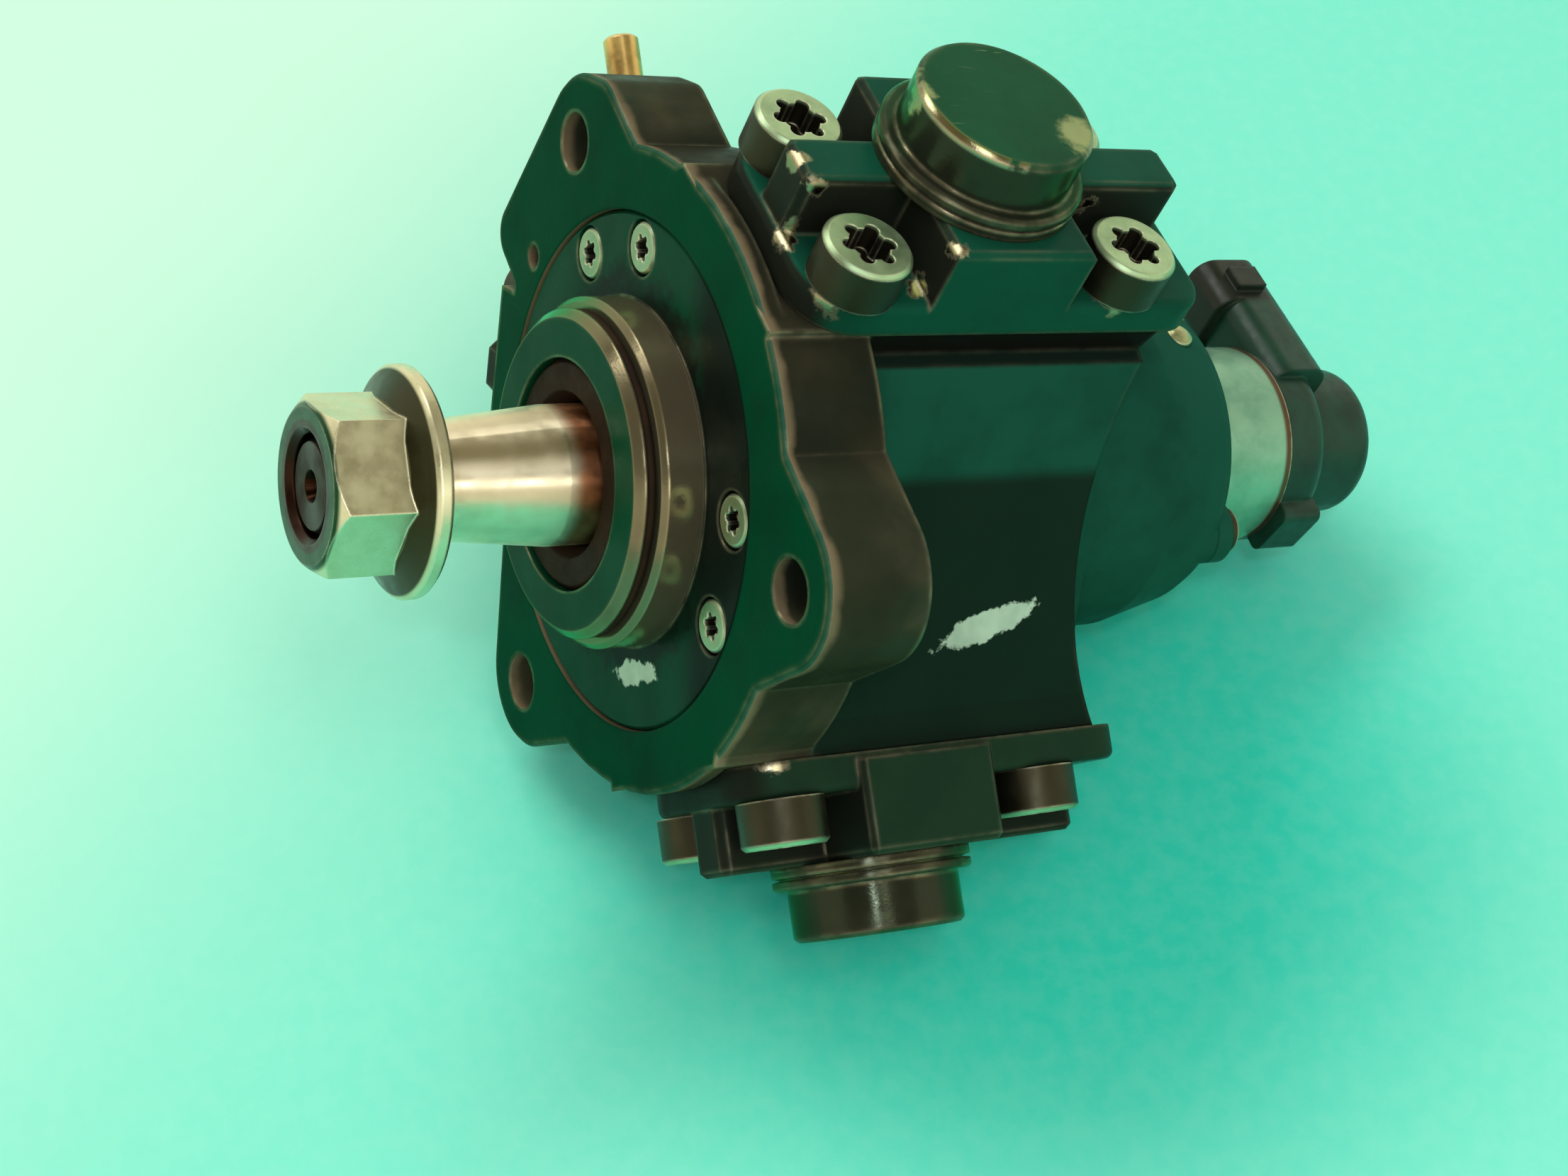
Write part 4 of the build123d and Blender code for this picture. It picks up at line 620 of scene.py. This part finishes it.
finishes = {
    "housing_metal": painted("housing_paint", housing_layers, ior=1.06, edge_reach=1.4 * MM, worn_highlight_most=0.7),
    "cover_metal": painted("cover_paint", cover_layers, 0.28, 0.4 * MM),
    "head_metal": painted("head_paint", head_layers, rounding=1.2 * MM),
    "cap_metal": painted("cap_paint", cap_layers, 0.22, 0.8 * MM, 1.14, 1.4 * MM, 0.95),
    "screw_metal": metal("screw_zinc", screw_layers, 0.4),
    "small_screw_metal": metal("small_screw_zinc", small_screw_layers, 0.38),
    "shaft_steel": metal("shaft_ground", shaft_layers, 0.34, (60, 1, 1), 300, 1.0, 0.1, 0.85),
    "nut_metal": metal("nut_zinc", nut_layers, 0.28),
    "plug_metal": metal("plug_steel", blotchy(PLUG_PALE, SCREW_SHADE), 0.35),
    "union_metal": metal("union_steel", blotchy(SCREW_PALE, NUT_SHADE), 0.35),
    "bush_bronze": metal("bush_bronze", blotchy(BRASS, BRASS_SHADE), 0.4),
    "inner_steel": metal("inner_steel", blotchy(SHAFT_STEEL, SCREW_SHADE), 0.25),
    "spring_steel": metal("spring_steel", blotchy(SCREW_SHADE, BODY_DARK), 0.35),
    "seal_rubber": moulded("seal_rubber", SEAL_BROWN, RUBBER_DARK, 0.5, 1.1),
    "can_steel": metal("can_satin", can_layers, 0.42, (30, 1, 1), 300, 0.8),
    "valve_body_metal": painted("valve_flange", housing_layers),
    "coil_copper": metal("coil_copper", blotchy(BRASS, BRASS_SHADE), 0.4),
    "cap_plastic": moulded("cap_plastic", PLASTIC_GREEN, BODY_DARK, 0.36, 1.32, TOWER_SIDE),
    "pin_metal": metal("pin_brass", blotchy(BRASS, NUT_ZINC), 0.3),
    "stub_brass": metal("stub_brass", blotchy(BRASS, BRASS_SHADE, 0.9), 0.3),
}
for part in frame["record"]["subparts"]:
    for slot in nodes[part["node"]].material_slots:
        slot.material = finishes[part["material_slot"]]


# ---------------------------------------------------------------- springs
def shortening_springs():
    """A copy of each spring, with the spring finish, carried by its joint's parent body in place of the
    spring.
    """
    for joint in frame["record"]["behaviour"]["joints"]:
        for row in joint.get("deforming_nodes", ()):
            node = nodes[row["node"]]
            axis = Vector(joint["axis"])
            fixed = Vector(row["fixed_end_m"]) if "fixed_end_m" in row else axis * row["fixed_end_x_m"]
            length = max(abs((v.co - fixed).dot(axis)) for v in node.data.vertices)
            spring = bpy.data.objects.new(row["node"] + "_moving", node.data.copy())
            for slot in spring.material_slots:
                slot.material = finishes["spring_steel"]
            bpy.context.scene.collection.objects.link(spring)
            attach(spring, joint["parent"])
            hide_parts(row["node"])
            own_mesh(spring)


# ---------------------------------------------------------------- floor
def lowest_point():
    """How far the pump reaches down along the true vertical."""
    low = math.inf
    for piece in nodes.values():
        low = min(low, min(v.co.dot(TRUE_UP) for v in piece.data.vertices))
    return low


def floor_material():
    """Mint board with a painted falloff of light, palest at the back left and dimmer to the right, and a
    painted shadow where the pump stands.
    """
    g = material_graph("floor_mint")
    geometry = g.add("ShaderNodeNewGeometry").outputs
    position = geometry["Position"]
    # painted falloff of light across the floor
    colour = g.mix(g.span(g.dot(position, FALLOFF_WAY), FALLOFF_START, FALLOFF_FULL), FLOOR_PALE, FLOOR_MINT_DIM)
    right = g.maths("SUBTRACT", g.dot(position, FLOOR_RIGHT), SHADOW_PLACE[0])
    away = g.maths("SUBTRACT", g.dot(position, FLOOR_AWAY), SHADOW_PLACE[1])
    # painted shadow round the place where the pump stands
    colour = g.mix(g.span(g.length(right, away), SHADOW_EDGE, SHADOW_FULL), colour, FLOOR_SHADOW)
    colour = g.mix(g.span(g.noise(260, 4, 0.6), 0.3, 0.7, 0.0, 0.07), colour, FLOOR_PALE)
    shader = g.add("ShaderNodeBsdfDiffuse")
    g.join(colour, shader.inputs["Color"])
    clear = g.add("ShaderNodeBsdfTransparent")
    sides = g.add("ShaderNodeMixShader")
    g.join(geometry["Backfacing"], sides.inputs[0])
    g.join(shader.outputs[0], sides.inputs[1])
    g.join(clear.outputs[0], sides.inputs[2])
    g.join(sides.outputs[0], g.output.inputs["Surface"])
    return g.owner


def make_floor():
    mesh = bpy.data.meshes.new("floor")
    half = FLOOR_SIZE / 2
    corners = [(-half, -half, 0), (half, -half, 0), (half, half, 0), (-half, half, 0)]
    mesh.from_pydata(corners, [], [(0, 1, 2, 3)])
    floor = bpy.data.objects.new("floor", mesh)
    floor.rotation_mode = "QUATERNION"
    floor.rotation_quaternion = TRUE_UP.to_track_quat("Z", "Y")
    floor.location = TRUE_UP * (lowest_point() - 0.1 * MM)
    mesh.materials.append(floor_material())
    bpy.context.scene.collection.objects.link(floor)


# ---------------------------------------------------------------- lamps, world and camera
def area_light(name, right, away, up, distance, length, width, power, colour):
    """Soft light, its length along the shaft, that looks at the pump's middle."""
    middle = (cad_box[0] + cad_box[1]) / 2
    aim = (FLOOR_RIGHT * right + FLOOR_AWAY * away + TRUE_UP * up).normalized()
    across = aim.cross(Vector((1, 0, 0))).normalized()
    turn = Matrix((across.cross(aim), across, aim)).transposed()
    data = bpy.data.lights.new(name, "AREA")
    data.shape = "RECTANGLE"
    data.size = length
    data.size_y = width
    data.energy = power
    data.color = linear(colour)[:3]
    lamp = bpy.data.objects.new(name, data)
    lamp.matrix_world = Matrix.Translation(middle + aim * distance) @ turn.to_4x4()
    bpy.context.scene.collection.objects.link(lamp)


def make_world():
    """Even white light; gloss sees a bright horizon under a brown ceiling, the camera sees mint."""
    world = bpy.data.worlds.new("air")
    g = Graph(world, "ShaderNodeOutputWorld")
    rise = g.dot(g.coordinates["Generated"], TRUE_UP)
    sky = g.mix(g.span(rise, HORIZON_END, CEILING_START), HORIZON_GLOW, CEILING_BROWN)
    rays = g.add("ShaderNodeLightPath").outputs
    layers = (
        (linear(LAMP_WHITE), AMBIENT, None),
        (sky, GLOSSY_SKY, rays["Is Glossy Ray"]),
        (linear(MINT_AIR), 1.0, rays["Is Camera Ray"]),
    )
    result = None
    for colour, strength, ray in layers:
        light = g.add("ShaderNodeBackground")
        g.join(colour, light.inputs["Color"])
        light.inputs["Strength"].default_value = strength
        if ray is None:
            result = light.outputs[0]
            continue
        blend = g.add("ShaderNodeMixShader")
        g.join(ray, blend.inputs[0])
        g.join(result, blend.inputs[1])
        g.join(light.outputs[0], blend.inputs[2])
        result = blend.outputs[0]
    g.join(result, g.output.inputs["Surface"])
    bpy.context.scene.world = world


def make_camera():
    data = bpy.data.cameras.new("camera")
    data.lens = CAMERA_LENS
    data.sensor_width = CAMERA_SENSOR
    data.clip_start = 0.01
    data.clip_end = 20
    camera = bpy.data.objects.new("camera", data)
    turn = Matrix((CAMERA_RIGHT, CAMERA_UP, CAMERA_BACK)).transposed()
    camera.matrix_world = Matrix.Translation(CAMERA_PLACE) @ turn.to_4x4()
    bpy.context.scene.collection.objects.link(camera)
    bpy.context.scene.camera = camera


shortening_springs()
make_floor()
make_world()
make_camera()
for lamp in LAMPS:
    area_light(*lamp)

bpy.context.scene.view_settings.view_transform = "Standard"
